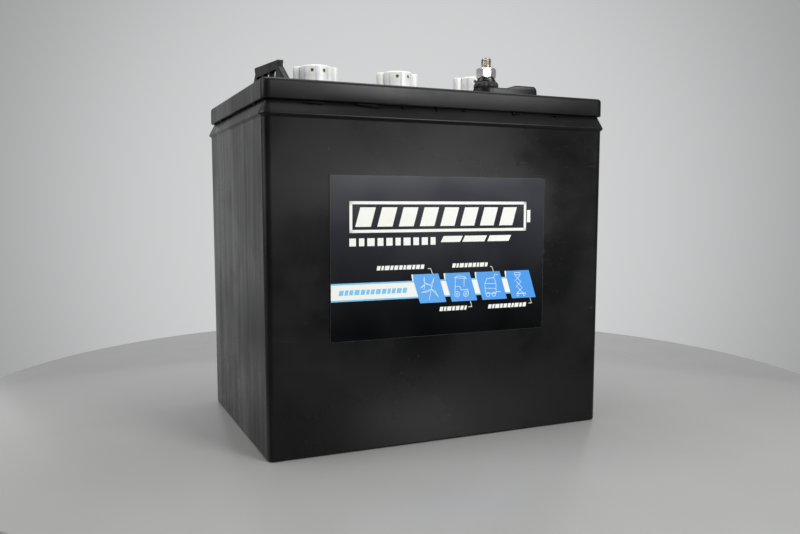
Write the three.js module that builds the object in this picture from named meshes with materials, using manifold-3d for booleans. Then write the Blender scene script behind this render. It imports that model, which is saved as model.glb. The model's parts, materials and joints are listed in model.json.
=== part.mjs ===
// Deep cycle battery of the golf-cart size: a 6 V, three-cell, flooded lead-acid battery.
// Millimetres, +Z up. The origin is the centre of the base. The long label face looks along -Y.

import * as THREE from 'three';
import { mergeVertices } from 'three/addons/utils/BufferGeometryUtils.js';
import Module from 'manifold-3d';

const wasm = await Module();
wasm.setup();

// ---------------------------------------------------------------- driving dimensions

const CLEARANCE = 0.3;

// Lid
const LID_LENGTH = 260;
const LID_WIDTH = 180;
const RIM_TOP = 245;
const LID_SKIRT = 13;
const LID_CORNER = 5.5;
const RIM_WIDTH = 4;
const DECK_DROP = 3;
const SKIRT_THICKNESS = 2.2;
const DECK_TOP = RIM_TOP - DECK_DROP;
const LID_UNDERSIDE = RIM_TOP - 5.4;

// Container
const CASE_TAPER = 1.3;
const CASE_CORNER = 2.9;
const FLOOR_THICKNESS = 4;
const INNER_HALF_LENGTH = 124.2;
const INNER_HALF_WIDTH = 84.2;
const PARTITION = 2.6;
const WALL_TOP = LID_UNDERSIDE - CLEARANCE;
const LIP_OUT = 1.8;
const LIP_HEIGHT = 222.8;
const LIP_STEP = 221;
const MUD_RIB_TOP = 22;
const MUD_RIB_THICKNESS = 3;
const MUD_RIB_PLACES = [-66, -24, 24, 66];

// Cells, counted from the left end
const CELL_COUNT = 3;
const CELL_LENGTH = (2 * INNER_HALF_LENGTH - (CELL_COUNT - 1) * PARTITION) / CELL_COUNT;
const CELL_PITCH = CELL_LENGTH + PARTITION;
const PLATES_PER_CELL = 15;
const PLATE_PITCH = 5.2;
const POSITIVE_PLATE = 2.6;
const NEGATIVE_PLATE = 1.8;
const PLATE_HALF_WIDTH = 75;
const PLATE_BOTTOM = MUD_RIB_TOP + CLEARANCE;
const PLATE_TOP = 172;
const SEPARATOR = 1.8;
const SEPARATOR_TOP = 175;
const STRAP_BOTTOM = 182;
const STRAP_TOP = 190;
const STRAP_HALF_LENGTH = 38.2;
const STRAP_HALF_WIDTH = 10;
const LUG_HALF_WIDTH = 7;
const GUARD_BOTTOM = 177;
const GUARD_THICKNESS = 1.5;
const GUARD_HALF_LENGTH = 38;
const GUARD_HALF_WIDTH = 40;
const CONNECTOR_HEIGHT = 195;
const CONNECTOR_RADIUS = 6.5;
const TAB_THICKNESS = 4;
const TAB_TOP = 204;
const TAB_GAP = 0.6;

// Terminals: one at the front right, one at the rear left
const TERMINAL_X = 49.6;
const TERMINAL_Y = 53;
const PILLAR_RADIUS = 6;
const PILLAR_TOP = RIM_TOP + 7.5;
const BUSHING_BARREL_RADIUS = 7.8;
const BUSHING_BARREL_BOTTOM = LID_UNDERSIDE;
const BUSHING_HEAD_RADIUS = 9.4;
const BUSHING_LOBES = 8;
const BUSHING_LOBE_DEPTH = 0.55;
const BUSHING_TOP = RIM_TOP + 12.6;
const STUD_RADIUS = 3.9;
const STUD_TOP = RIM_TOP + 30.2;
const STUD_HEAD_RADIUS = 5.8;
const STUD_HEAD_HEIGHT = 2.2;
const FLAT_WASHER_RADIUS = 7.3;
const FLAT_WASHER_THICKNESS = 0.9;
const SPRING_WASHER_RADIUS = 6.6;
const SPRING_WASHER_THICKNESS = 1.1;
const NUT_ACROSS_FLATS = 13;
const NUT_HEIGHT = 7.3;
const NUT_TURN = THREE.MathUtils.degToRad(-113);
const HOLE_RADIUS = STUD_RADIUS + CLEARANCE;
const STACK_GAP = 0.25;

// Raised pad beside each terminal
const PAD_HALF_WIDTH = 9.7;
const PAD_START = 0;
const PAD_RAMP_START = 11.5;
const PAD_RAMP_END = 22;
const PAD_END = 40;
const PAD_LOW = RIM_TOP + 7.9;
const PAD_HIGH = RIM_TOP + 10.3;
const PAD_SHELL = 2.2;

// Vent caps and the filler necks they sit in
const VENT_SPACING = 67;
const NECK_RADIUS = 15;
const NECK_TOP = RIM_TOP + 5;
const NECK_BORE = 12.2;
const NECK_TUBE_RADIUS = 13.6;
const NECK_TUBE_BORE = 11.6;
const NECK_TUBE_BOTTOM = RIM_TOP - 26;
const LEDGE_TOP = RIM_TOP - 3;
const LEDGE_BOTTOM = RIM_TOP - 6;
const LEDGE_BORE = 9.6;
const LUG_SLOT_RADIUS = 11.4;
const LUG_SLOT_HALF_ANGLE = THREE.MathUtils.degToRad(27);
const CAP_PLUG_RADIUS = 9.2;
const CAP_PLUG_BOTTOM = RIM_TOP - 10;
const CAP_LUG_RADIUS = 10.9;
const CAP_LUG_HALF_ANGLE = THREE.MathUtils.degToRad(21);
const CAP_SHOULDER_RADIUS = 11.8;
const CAP_SHOULDER_BOTTOM = RIM_TOP - 0.4;
const CAP_FLANGE_RADIUS = 13.9;
const CAP_FLANGE_HEIGHT = 2;
const CAP_BODY_RADIUS = 12;
const CAP_BODY_BOTTOM = NECK_TOP + CLEARANCE;
const CAP_TOP = RIM_TOP + 24.3;
const CAP_CAVITY_RADIUS = 7;
const CAP_CAVITY_TOP = RIM_TOP + 21.8;
const WING_REACH = 16.8;
const WING_HALF_THICKNESS = 3;
const WING_BOTTOM = RIM_TOP + 8.5;
const WING_TOP = RIM_TOP + 23.8;
const CAP_TURNS = [-15, -8.3, -2].map(THREE.MathUtils.degToRad);
const VENT_HOLE_RADIUS = 1.3;
const VENT_HOLE_HEIGHT = RIM_TOP + 20.1;
const VENT_HOLE_ANGLES = [75, 120, 255, 300].map(THREE.MathUtils.degToRad);
const SEAL_TOP = CAP_SHOULDER_BOTTOM - CLEARANCE;
const SEAL_INNER_RADIUS = 9.5;
const SEAL_OUTER_RADIUS = 11.8;

// Folding handles
const HANDLE_X = 103;
const HANDLE_AXIS_HEIGHT = 2.2;
const HANDLE_AXIS = RIM_TOP + HANDLE_AXIS_HEIGHT;
const HANDLE_TOP = 21.5;
const HANDLE_THICKNESS = 3.7;
const HANDLE_SHOULDER = 17.1;
const HANDLE_HALF_TOP = 28.4;
const HANDLE_HALF_BASE = 52;
const HANDLE_FLARE_END = 3;
const HANDLE_BOTTOM = -3.2;
const FINGER_GAPS = [-17.5, 0, 17.5];
const FINGER_GAP_HALF_WIDTH = 7.75;
const FINGER_GAP_BOTTOM = 7;
const FINGER_GAP_TOP = 14.7;
const KNUCKLE_RADIUS = 3;
const KNUCKLE_REACH = 6;
const EAR_PLACE = 41;
const EAR_HALF_WIDTH = 3;
const EAR_RADIUS = 3.4;
const PIN_RADIUS = 1.4;
const PIN_HALF_LENGTH = 8.6;
const LEAN_TILT = 0.046;
const LEAN_TWIST = 0.066;

// Front label
const LABEL_LEFT = -86.8;
const LABEL_RIGHT = 77.6;
const LABEL_BOTTOM = 75.5;
const LABEL_TOP = 185;
const LABEL_THICKNESS = 0.4;
const LABEL_CORNER = 1.2;

const ROUND_SIDES = 16;
const SMALL_SIDES = 8;

// ---------------------------------------------------------------- materials

function plastic(color, roughness) {
  return new THREE.MeshStandardMaterial({ color, roughness, metalness: 0 });
}

function metal(color, roughness) {
  return new THREE.MeshStandardMaterial({ color, roughness, metalness: 1 });
}

const material = {
  caseBlack: () => plastic(0x1b1c1d, 0.45),
  lidBlack: () => plastic(0x202122, 0.5),
  label: () => plastic(0x10141d, 0.2),
  capWhite: () => plastic(0xe6e7e3, 0.4),
  seal: () => plastic(0x151515, 0.8),
  handleBlack: () => plastic(0x18191a, 0.55),
  darkLead: () => metal(0x2c2d2f, 0.6),
  lead: () => metal(0x6d7074, 0.6),
  steel: () => metal(0xb9b6ae, 0.3),
  positivePaste: () => plastic(0x4a2f25, 0.8),
  negativePaste: () => plastic(0x6f757b, 0.7),
  separator: () => plastic(0xd8d8d2, 0.7),
};

// ---------------------------------------------------------------- solid tools

// Keeps only positions, welds shared corners, drops flat triangles and turns the faces outwards.
function mend(geometry) {
  const bare = new THREE.BufferGeometry();
  bare.setAttribute('position', geometry.getAttribute('position').clone());
  bare.setIndex(geometry.getIndex());
  const welded = mergeVertices(bare, 1e-4);
  const corners = welded.getIndex().array;
  const position = welded.getAttribute('position');
  const kept = [];
  let volume = 0;
  const a = new THREE.Vector3();
  const b = new THREE.Vector3();
  const c = new THREE.Vector3();
  for (let i = 0; i < corners.length; i += 3) {
    const [p, q, r] = [corners[i], corners[i + 1], corners[i + 2]];
    if (p === q || q === r || r === p) continue;
    kept.push(p, q, r);
    a.fromBufferAttribute(position, p);
    b.fromBufferAttribute(position, q);
    c.fromBufferAttribute(position, r);
    volume += a.dot(b.cross(c));
  }
  if (volume < 0) kept.reverse();
  welded.setIndex(kept);
  return welded;
}

function solid(geometry) {
  const closed = mend(geometry);
  const mesh = new wasm.Mesh({
    numProp: 3,
    vertProperties: new Float32Array(closed.getAttribute('position').array),
    triVerts: new Uint32Array(closed.getIndex().array),
  });
  return new wasm.Manifold(mesh);
}

function unite(first, ...others) {
  return others.reduce((whole, piece) => whole.add(piece), first);
}

function cut(first, ...tools) {
  return tools.reduce((whole, tool) => whole.subtract(tool), first);
}

function box(x0, x1, y0, y1, z0, z1) {
  const geometry = new THREE.BoxGeometry(x1 - x0, y1 - y0, z1 - z0);
  geometry.translate((x0 + x1) / 2, (y0 + y1) / 2, (z0 + z1) / 2);
  return solid(geometry);
}

function extruded(shape, z0, z1, segments = 4) {
  const geometry = new THREE.ExtrudeGeometry(shape, {
    depth: z1 - z0,
    bevelEnabled: false,
    curveSegments: segments,
  });
  geometry.translate(0, 0, z0);
  return geometry;
}

// A turned solid about the vertical axis; the profile is a list of [radius, height].
function turned(profile, x = 0, y = 0, sides = ROUND_SIDES) {
  const points = profile.map(([radius, height]) => new THREE.Vector2(radius, height));
  const geometry = new THREE.LatheGeometry(points, sides);
  geometry.rotateX(Math.PI / 2);
  geometry.translate(x, y, 0);
  return solid(geometry);
}

function rod(radius, z0, z1, x = 0, y = 0, sides = ROUND_SIDES) {
  return turned([[0, z0], [radius, z0], [radius, z1], [0, z1]], x, y, sides);
}

function tube(outer, inner, z0, z1, x = 0, y = 0, sides = ROUND_SIDES) {
  return turned([[inner, z0], [outer, z0], [outer, z1], [inner, z1], [inner, z0]], x, y, sides);
}

// A rod that lies along Y, or along X.
function rodAlongY(radius, y0, y1, x, z, sides = SMALL_SIDES) {
  const geometry = new THREE.CylinderGeometry(radius, radius, y1 - y0, sides);
  geometry.translate(x, (y0 + y1) / 2, z);
  return solid(geometry);
}

function rodAlongX(radius, x0, x1, y, z, sides = ROUND_SIDES) {
  const geometry = new THREE.CylinderGeometry(radius, radius, x1 - x0, sides);
  geometry.rotateZ(Math.PI / 2);
  geometry.translate((x0 + x1) / 2, y, z);
  return solid(geometry);
}

function roundedRectangle(halfX, halfY, corner) {
  const shape = new THREE.Shape();
  shape.absarc(halfX - corner, halfY - corner, corner, 0, Math.PI / 2);
  shape.absarc(-halfX + corner, halfY - corner, corner, Math.PI / 2, Math.PI);
  shape.absarc(-halfX + corner, -halfY + corner, corner, Math.PI, 1.5 * Math.PI);
  shape.absarc(halfX - corner, -halfY + corner, corner, 1.5 * Math.PI, 2 * Math.PI);
  return shape;
}

// A rounded block whose outline grows or shrinks evenly with height; its corner radius follows.
// Each ring is [height, half length, half width], and the corner radius is the first ring's.
function loftedBlock(rings, corner) {
  const [, baseX, baseY] = rings[0];
  const steps = rings.length - 1;
  const geometry = new THREE.ExtrudeGeometry(roundedRectangle(baseX, baseY, corner), {
    depth: steps,
    steps,
    bevelEnabled: false,
    curveSegments: 3,
  });
  const position = geometry.getAttribute('position');
  const centreX = baseX - corner;
  const centreY = baseY - corner;
  for (let i = 0; i < position.count; i += 1) {
    const [height, halfX] = rings[Math.round(position.getZ(i))];
    const growth = (corner + halfX - baseX) / corner;
    const arcX = Math.sign(position.getX(i)) * centreX;
    const arcY = Math.sign(position.getY(i)) * centreY;
    const newX = arcX + (position.getX(i) - arcX) * growth;
    const newY = arcY + (position.getY(i) - arcY) * growth;
    position.setXYZ(i, newX, newY, height);
  }
  return solid(geometry);
}

// ---------------------------------------------------------------- the assembly

const battery = new THREE.Group();

function addPart(name, shape, partMaterial) {
  const mesh = shape.getMesh();
  const geometry = new THREE.BufferGeometry();
  geometry.setAttribute('position', new THREE.BufferAttribute(mesh.vertProperties, 3));
  geometry.setIndex(new THREE.BufferAttribute(mesh.triVerts, 1));
  const part = new THREE.Mesh(geometry, partMaterial);
  part.name = name;
  battery.add(part);
  return part;
}

const cells = Array.from({ length: CELL_COUNT }, (_, index) => ({
  number: index + 1,
  centre: (index - (CELL_COUNT - 1) / 2) * CELL_PITCH,
  // Straps change sides from cell to cell, so that neighbours join through the partition.
  positiveSide: index % 2 === 0 ? -1 : 1,
}));

const partitions = cells.slice(0, -1).map((cell) => ({
  first: cell.number,
  second: cell.number + 1,
  place: cell.centre + CELL_PITCH / 2,
  side: cell.positiveSide,
}));

const terminals = [
  { name: 'positive', x: TERMINAL_X, y: -TERMINAL_Y, facing: 1 },
  { name: 'negative', x: -TERMINAL_X, y: TERMINAL_Y, facing: -1 },
];

// ---------------------------------------------------------------- container

// The outside of the case: a slight draft, a flared lip under the lid and a narrower neck inside the skirt.
function containerOutside() {
  const ring = (height, inset) => [height, LID_LENGTH / 2 - inset, LID_WIDTH / 2 - inset];
  const neckInset = SKIRT_THICKNESS + 0.5;
  return loftedBlock(
    [
      ring(0, CASE_TAPER + 1.4),
      ring(1.4, CASE_TAPER),
      ring(LIP_STEP, 0.1),
      ring(LIP_HEIGHT - 0.8, -LIP_OUT + 0.3),
      ring(LIP_HEIGHT, -LIP_OUT),
      ring(LIP_HEIGHT + 0.9, -LIP_OUT + 0.4),
      ring(RIM_TOP - LID_SKIRT - 0.6, neckInset - 0.2),
      ring(WALL_TOP, neckInset),
    ],
    CASE_CORNER,
  );
}

function cellSpace(cell) {
  const half = CELL_LENGTH / 2;
  return box(
    cell.centre - half, cell.centre + half,
    -INNER_HALF_WIDTH, INNER_HALF_WIDTH,
    FLOOR_THICKNESS, WALL_TOP + 5,
  );
}

// Ribs on the floor of each cell carry the plates above the sediment space.
function mudRibs(cell) {
  const half = CELL_LENGTH / 2 + 0.5;
  return MUD_RIB_PLACES.map((place) => box(
    cell.centre - half, cell.centre + half,
    place - MUD_RIB_THICKNESS / 2, place + MUD_RIB_THICKNESS / 2,
    FLOOR_THICKNESS - 1, MUD_RIB_TOP,
  ));
}

function connectorHole({ place, side }) {
  return rodAlongX(
    CONNECTOR_RADIUS + CLEARANCE,
    place - PARTITION, place + PARTITION,
    side * TERMINAL_Y, CONNECTOR_HEIGHT,
  );
}

function makeContainer() {
  const hollow = cut(containerOutside(), ...cells.map(cellSpace));
  const ribbed = unite(hollow, ...cells.flatMap(mudRibs));
  addPart('container', cut(ribbed, ...partitions.map(connectorHole)), material.caseBlack());
}

// ---------------------------------------------------------------- lid

// An upside-down tray with a raised rim: the skirt hangs outside the container's wall.
function lidTray() {
  const ring = (height, inset) => [height, LID_LENGTH / 2 - inset, LID_WIDTH / 2 - inset];
  const outside = loftedBlock(
    [ring(RIM_TOP - LID_SKIRT, 0), ring(RIM_TOP - 2.2, 0), ring(RIM_TOP - 0.7, 0.6), ring(RIM_TOP, 1.8)],
    LID_CORNER,
  );
  const under = loftedBlock(
    [ring(RIM_TOP - LID_SKIRT - 1, SKIRT_THICKNESS), ring(LID_UNDERSIDE, SKIRT_THICKNESS)],
    LID_CORNER - SKIRT_THICKNESS,
  );
  const above = loftedBlock(
    [ring(DECK_TOP, RIM_WIDTH), ring(RIM_TOP + 1, RIM_WIDTH)],
    LID_CORNER - 2,
  );
  return cut(outside, under, above);
}

// The pad's side outline, from the terminal towards the end of the battery.
function padOutline(inset) {
  const shape = new THREE.Shape();
  shape.moveTo(PAD_START, DECK_TOP - 1);
  shape.lineTo(PAD_END - inset, DECK_TOP - 1);
  shape.lineTo(PAD_END - 0.8 - inset, PAD_HIGH - 4);
  shape.quadraticCurveTo(PAD_END - 1.4 - inset, PAD_HIGH - inset, PAD_END - 5 - inset, PAD_HIGH - inset);
  shape.lineTo(PAD_RAMP_END, PAD_HIGH - inset);
  shape.quadraticCurveTo(PAD_RAMP_END - 4, PAD_HIGH - 0.3 - inset, PAD_RAMP_START, PAD_LOW - inset);
  shape.lineTo(PAD_START, PAD_LOW - inset);
  shape.closePath();
  return shape;
}

function padBlock(inset, extraDepth) {
  const half = PAD_HALF_WIDTH - inset;
  const geometry = extruded(padOutline(inset), -half, half, 4);
  geometry.rotateX(Math.PI / 2);
  geometry.translate(0, 0, -extraDepth);
  return geometry;
}

function place(geometry, terminal) {
  if (terminal.facing < 0) geometry.rotateZ(Math.PI);
  geometry.translate(terminal.x, terminal.y, 0);
  return solid(geometry);
}

function bar(x0, x1, y0, y1, z0, z1) {
  const geometry = new THREE.BoxGeometry(x1 - x0, y1 - y0, z1 - z0);
  return geometry.translate((x0 + x1) / 2, (y0 + y1) / 2, (z0 + z1) / 2);
}

// A raised plus or minus sign on the pad.
function polarityMark(terminal) {
  const centre = (PAD_RAMP_END + PAD_END - 5) / 2;
  const long = 5;
  const thin = 0.9;
  const base = PAD_HIGH - 0.5;
  const top = PAD_HIGH + 0.5;
  const strokes = [bar(centre - long, centre + long, -thin, thin, base, top)];
  if (terminal.name === 'positive') strokes.push(bar(centre - thin, centre + thin, -long, long, base, top));
  return strokes.map((stroke) => place(stroke, terminal));
}

function padHollow(terminal) {
  return place(padBlock(PAD_SHELL, DECK_DROP), terminal);
}

function padSolids(terminal) {
  return [place(padBlock(0, 0), terminal), ...polarityMark(terminal)];
}

// A round tower at the start of the hollow pad holds the lead bushing.
function padTower(terminal) {
  return rod(PAD_HALF_WIDTH, LID_UNDERSIDE, PAD_LOW, terminal.x, terminal.y);
}

function neckSolids(x) {
  return [
    rod(NECK_RADIUS, LID_UNDERSIDE + 0.5, NECK_TOP, x, 0),
    rod(NECK_TUBE_RADIUS, NECK_TUBE_BOTTOM, LID_UNDERSIDE + 1, x, 0),
  ];
}

function sector(radius, halfAngle, turn) {
  const shape = new THREE.Shape();
  const start = turn - halfAngle;
  shape.moveTo(0, 0);
  shape.lineTo(radius * Math.cos(start), radius * Math.sin(start));
  shape.absarc(0, 0, radius, start, turn + halfAngle);
  shape.closePath();
  return shape;
}

// The bore of a filler neck: wide above the ledge, two bayonet slots through it and a level slot below.
function neckBore(x, turn) {
  const bore = turned(
    [
      [0, NECK_TUBE_BOTTOM - 1],
      [NECK_TUBE_BORE, NECK_TUBE_BOTTOM - 1],
      [NECK_TUBE_BORE, LEDGE_BOTTOM],
      [LEDGE_BORE, LEDGE_BOTTOM],
      [LEDGE_BORE, LEDGE_TOP],
      [NECK_BORE, LEDGE_TOP],
      [NECK_BORE, NECK_TOP + 1],
      [0, NECK_TOP + 1],
    ],
    x,
  );
  const slots = [0, Math.PI].map((side) => {
    const geometry = extruded(
      sector(LUG_SLOT_RADIUS, LUG_SLOT_HALF_ANGLE, turn + side), LEDGE_BOTTOM - 1, LEDGE_TOP + 1,
    );
    return solid(geometry.translate(x, 0, 0));
  });
  const levelSlot = box(
    x - 1.5, x + 1.5, -NECK_RADIUS - 1, NECK_RADIUS + 1, NECK_TUBE_BOTTOM - 1, NECK_TUBE_BOTTOM + 12,
  );
  return unite(bore, ...slots, levelSlot);
}

const vents = [-VENT_SPACING, 0, VENT_SPACING].map((x, index) => ({
  number: index + 1,
  x,
  turn: CAP_TURNS[index],
}));

// Two ears at each end of the lid carry the handle's pivot pins.
function handleEars(end) {
  const x = end * HANDLE_X;
  return [-1, 1].map((side) => {
    const y0 = side * EAR_PLACE - EAR_HALF_WIDTH;
    const y1 = side * EAR_PLACE + EAR_HALF_WIDTH;
    const post = box(x - EAR_RADIUS, x + EAR_RADIUS, y0, y1, DECK_TOP - 1, HANDLE_AXIS);
    const top = rodAlongY(EAR_RADIUS, y0, y1, x, HANDLE_AXIS, ROUND_SIDES);
    const hole = rodAlongY(PIN_RADIUS + CLEARANCE, y0 - 1, y1 + 1, x, HANDLE_AXIS);
    return cut(unite(post, top), hole);
  });
}

function bushingHole(terminal) {
  const radius = BUSHING_BARREL_RADIUS + CLEARANCE;
  return rod(radius, LID_UNDERSIDE - 1, PAD_HIGH + 5, terminal.x, terminal.y);
}

function makeLid() {
  const padded = unite(lidTray(), ...terminals.flatMap(padSolids));
  const hollowed = cut(padded, ...terminals.map(padHollow));
  const built = unite(
    hollowed,
    ...terminals.map(padTower),
    ...vents.flatMap((vent) => neckSolids(vent.x)),
    ...[-1, 1].flatMap(handleEars),
  );
  const bores = vents.map((vent) => neckBore(vent.x, vent.turn));
  addPart('lid', cut(built, ...bores, ...terminals.map(bushingHole)), material.lidBlack());
}

// ---------------------------------------------------------------- label

// A thin sheet that lies along the slightly drafted front wall.
function makeLabel() {
  const halfX = (LABEL_RIGHT - LABEL_LEFT) / 2;
  const halfZ = (LABEL_TOP - LABEL_BOTTOM) / 2;
  const geometry = extruded(roundedRectangle(halfX, halfZ, LABEL_CORNER), 0, LABEL_THICKNESS, 3);
  geometry.rotateX(Math.PI / 2);
  geometry.translate((LABEL_LEFT + LABEL_RIGHT) / 2, 0, (LABEL_BOTTOM + LABEL_TOP) / 2);
  const draft = (CASE_TAPER - 0.1) / (LIP_STEP - 1.4);
  const position = geometry.getAttribute('position');
  for (let i = 0; i < position.count; i += 1) {
    const wall = LID_WIDTH / 2 - CASE_TAPER + draft * (position.getZ(i) - 1.4);
    position.setY(i, position.getY(i) - wall - CLEARANCE);
  }
  addPart('front_label', solid(geometry), material.label());
}

// ---------------------------------------------------------------- vent caps

function capBody() {
  return turned([
    [0, CAP_CAVITY_TOP],
    [CAP_CAVITY_RADIUS, CAP_CAVITY_TOP - 1],
    [CAP_CAVITY_RADIUS, CAP_PLUG_BOTTOM],
    [CAP_PLUG_RADIUS, CAP_PLUG_BOTTOM],
    [CAP_PLUG_RADIUS, CAP_SHOULDER_BOTTOM],
    [CAP_SHOULDER_RADIUS, CAP_SHOULDER_BOTTOM],
    [CAP_SHOULDER_RADIUS, CAP_BODY_BOTTOM],
    [CAP_FLANGE_RADIUS, CAP_BODY_BOTTOM],
    [CAP_FLANGE_RADIUS, CAP_BODY_BOTTOM + CAP_FLANGE_HEIGHT],
    [CAP_BODY_RADIUS, CAP_BODY_BOTTOM + CAP_FLANGE_HEIGHT + 0.8],
    [CAP_BODY_RADIUS, CAP_TOP - 1.6],
    [CAP_BODY_RADIUS - 0.5, CAP_TOP - 0.5],
    [CAP_BODY_RADIUS - 1.6, CAP_TOP],
    [0, CAP_TOP],
  ]);
}

function capWings() {
  const shape = new THREE.Shape();
  const tip = WING_REACH - WING_HALF_THICKNESS;
  shape.absarc(tip, 0, WING_HALF_THICKNESS, -Math.PI / 2, Math.PI / 2);
  shape.absarc(-tip, 0, WING_HALF_THICKNESS, Math.PI / 2, 1.5 * Math.PI);
  const bothWings = solid(extruded(shape, WING_BOTTOM, WING_TOP, 3));
  return cut(bothWings, rod(CAP_CAVITY_RADIUS + 2, WING_BOTTOM - 1, WING_TOP + 1));
}

function capLugs() {
  return [0, Math.PI].map((side) => {
    const wedge = solid(extruded(
      sector(CAP_LUG_RADIUS, CAP_LUG_HALF_ANGLE, side), CAP_PLUG_BOTTOM, LEDGE_BOTTOM - CLEARANCE, 4,
    ));
    return cut(wedge, rod(CAP_PLUG_RADIUS - 1, CAP_PLUG_BOTTOM - 1, LEDGE_BOTTOM + 1));
  });
}

function ventHole(angle) {
  const geometry = new THREE.CylinderGeometry(VENT_HOLE_RADIUS, VENT_HOLE_RADIUS, 10, 8);
  geometry.translate(0, CAP_BODY_RADIUS - 2, 0);
  geometry.rotateZ(angle - Math.PI / 2);
  geometry.translate(0, 0, VENT_HOLE_HEIGHT);
  return solid(geometry);
}

function makeVentCap(vent) {
  const whole = unite(capBody(), capWings(), ...capLugs());
  const vented = cut(whole, ...VENT_HOLE_ANGLES.map(ventHole));
  const cap = addPart(`vent_cap_${vent.number}`, vented, material.capWhite());
  cap.position.set(vent.x, 0, 0);
  cap.rotation.z = vent.turn;
}

function makeVentSeal(vent) {
  const ring = tube(SEAL_OUTER_RADIUS, SEAL_INNER_RADIUS, LEDGE_TOP + CLEARANCE, SEAL_TOP, vent.x);
  addPart(`vent_seal_${vent.number}`, ring, material.seal());
}

// A splash baffle: a cup on a cross-drilled stem, pressed into the cap's hollow plug.
function makeVentBaffle(vent) {
  const fit = CAP_CAVITY_RADIUS - CLEARANCE;
  const cup = turned([
    [0, CAP_PLUG_BOTTOM + 0.5],
    [fit, CAP_PLUG_BOTTOM + 2],
    [fit, CAP_PLUG_BOTTOM + 9],
    [fit - 1.2, CAP_PLUG_BOTTOM + 9],
    [fit - 1.2, CAP_PLUG_BOTTOM + 3],
    [2, CAP_PLUG_BOTTOM + 2.5],
    [2, CAP_PLUG_BOTTOM + 18],
    [0, CAP_PLUG_BOTTOM + 19],
  ]);
  const drain = box(-fit - 1, fit + 1, -1, 1, CAP_PLUG_BOTTOM + 4, CAP_PLUG_BOTTOM + 6.5);
  const baffle = addPart(`vent_baffle_${vent.number}`, cut(cup, drain), material.capWhite());
  baffle.position.set(vent.x, 0, 0);
}

// ---------------------------------------------------------------- terminals

function lobedHead(z0, z1) {
  const shape = new THREE.Shape();
  const corners = BUSHING_LOBES * 4;
  for (let i = 0; i < corners; i += 1) {
    const angle = (i / corners) * 2 * Math.PI;
    const lobe = (1 + Math.cos(BUSHING_LOBES * angle)) / 2;
    const radius = BUSHING_HEAD_RADIUS - BUSHING_LOBE_DEPTH * 2 * (1 - lobe);
    const point = [radius * Math.cos(angle), radius * Math.sin(angle)];
    if (i === 0) shape.moveTo(...point);
    else shape.lineTo(...point);
  }
  shape.closePath();
  return solid(extruded(shape, z0, z1));
}

function makeBushing(terminal) {
  const headBottom = PAD_LOW + CLEARANCE;
  const dome = turned([
    [0, headBottom - 5],
    [BUSHING_HEAD_RADIUS + 1, headBottom - 5],
    [BUSHING_HEAD_RADIUS + 0.6, BUSHING_TOP - 3],
    [BUSHING_HEAD_RADIUS - 0.8, BUSHING_TOP - 0.9],
    [BUSHING_HEAD_RADIUS - 2, BUSHING_TOP],
    [0, BUSHING_TOP],
  ]);
  const head = lobedHead(headBottom, BUSHING_TOP + 1).intersect(dome);
  const barrel = rod(BUSHING_BARREL_RADIUS, BUSHING_BARREL_BOTTOM, headBottom + 1);
  const bore = turned([
    [0, BUSHING_BARREL_BOTTOM - 1],
    [PILLAR_RADIUS + CLEARANCE, BUSHING_BARREL_BOTTOM - 1],
    [PILLAR_RADIUS + CLEARANCE, PILLAR_TOP + STUD_HEAD_HEIGHT + 2 * CLEARANCE],
    [HOLE_RADIUS, PILLAR_TOP + STUD_HEAD_HEIGHT + 2 * CLEARANCE],
    [HOLE_RADIUS, BUSHING_TOP + 1],
    [0, BUSHING_TOP + 1],
  ]);
  const bushing = addPart(`${terminal.name}_bushing`, cut(unite(barrel, head), bore), material.darkLead());
  bushing.position.set(terminal.x, terminal.y, 0);
}

function makePillar(terminal) {
  const pillar = rod(PILLAR_RADIUS, STRAP_TOP + CLEARANCE, PILLAR_TOP, terminal.x, terminal.y);
  addPart(`${terminal.name}_pillar`, pillar, material.lead());
}

function makeStud(terminal) {
  const bottom = PILLAR_TOP + CLEARANCE;
  const stud = turned(
    [
      [0, bottom],
      [STUD_HEAD_RADIUS, bottom],
      [STUD_HEAD_RADIUS, bottom + STUD_HEAD_HEIGHT],
      [STUD_RADIUS, bottom + STUD_HEAD_HEIGHT],
      [STUD_RADIUS, STUD_TOP - 0.8],
      [STUD_RADIUS - 0.8, STUD_TOP],
      [0, STUD_TOP],
    ],
    terminal.x,
    terminal.y,
  );
  addPart(`${terminal.name}_stud`, stud, material.steel());
}

function makeWashers(terminal) {
  const flatBottom = BUSHING_TOP + STACK_GAP;
  const flatTop = flatBottom + FLAT_WASHER_THICKNESS;
  const flat = tube(FLAT_WASHER_RADIUS, HOLE_RADIUS, flatBottom, flatTop, terminal.x, terminal.y);
  addPart(`${terminal.name}_flat_washer`, flat, material.steel());
  const springBottom = flatTop + STACK_GAP;
  const springTop = springBottom + SPRING_WASHER_THICKNESS;
  const ring = tube(SPRING_WASHER_RADIUS, HOLE_RADIUS, springBottom, springTop, terminal.x, terminal.y);
  const x0 = terminal.x + HOLE_RADIUS - 1;
  const split = box(x0, x0 + 5, terminal.y - 0.5, terminal.y + 0.5, springBottom - 1, springTop + 1);
  addPart(`${terminal.name}_spring_washer`, cut(ring, split), material.steel());
  return springTop + STACK_GAP;
}

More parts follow.
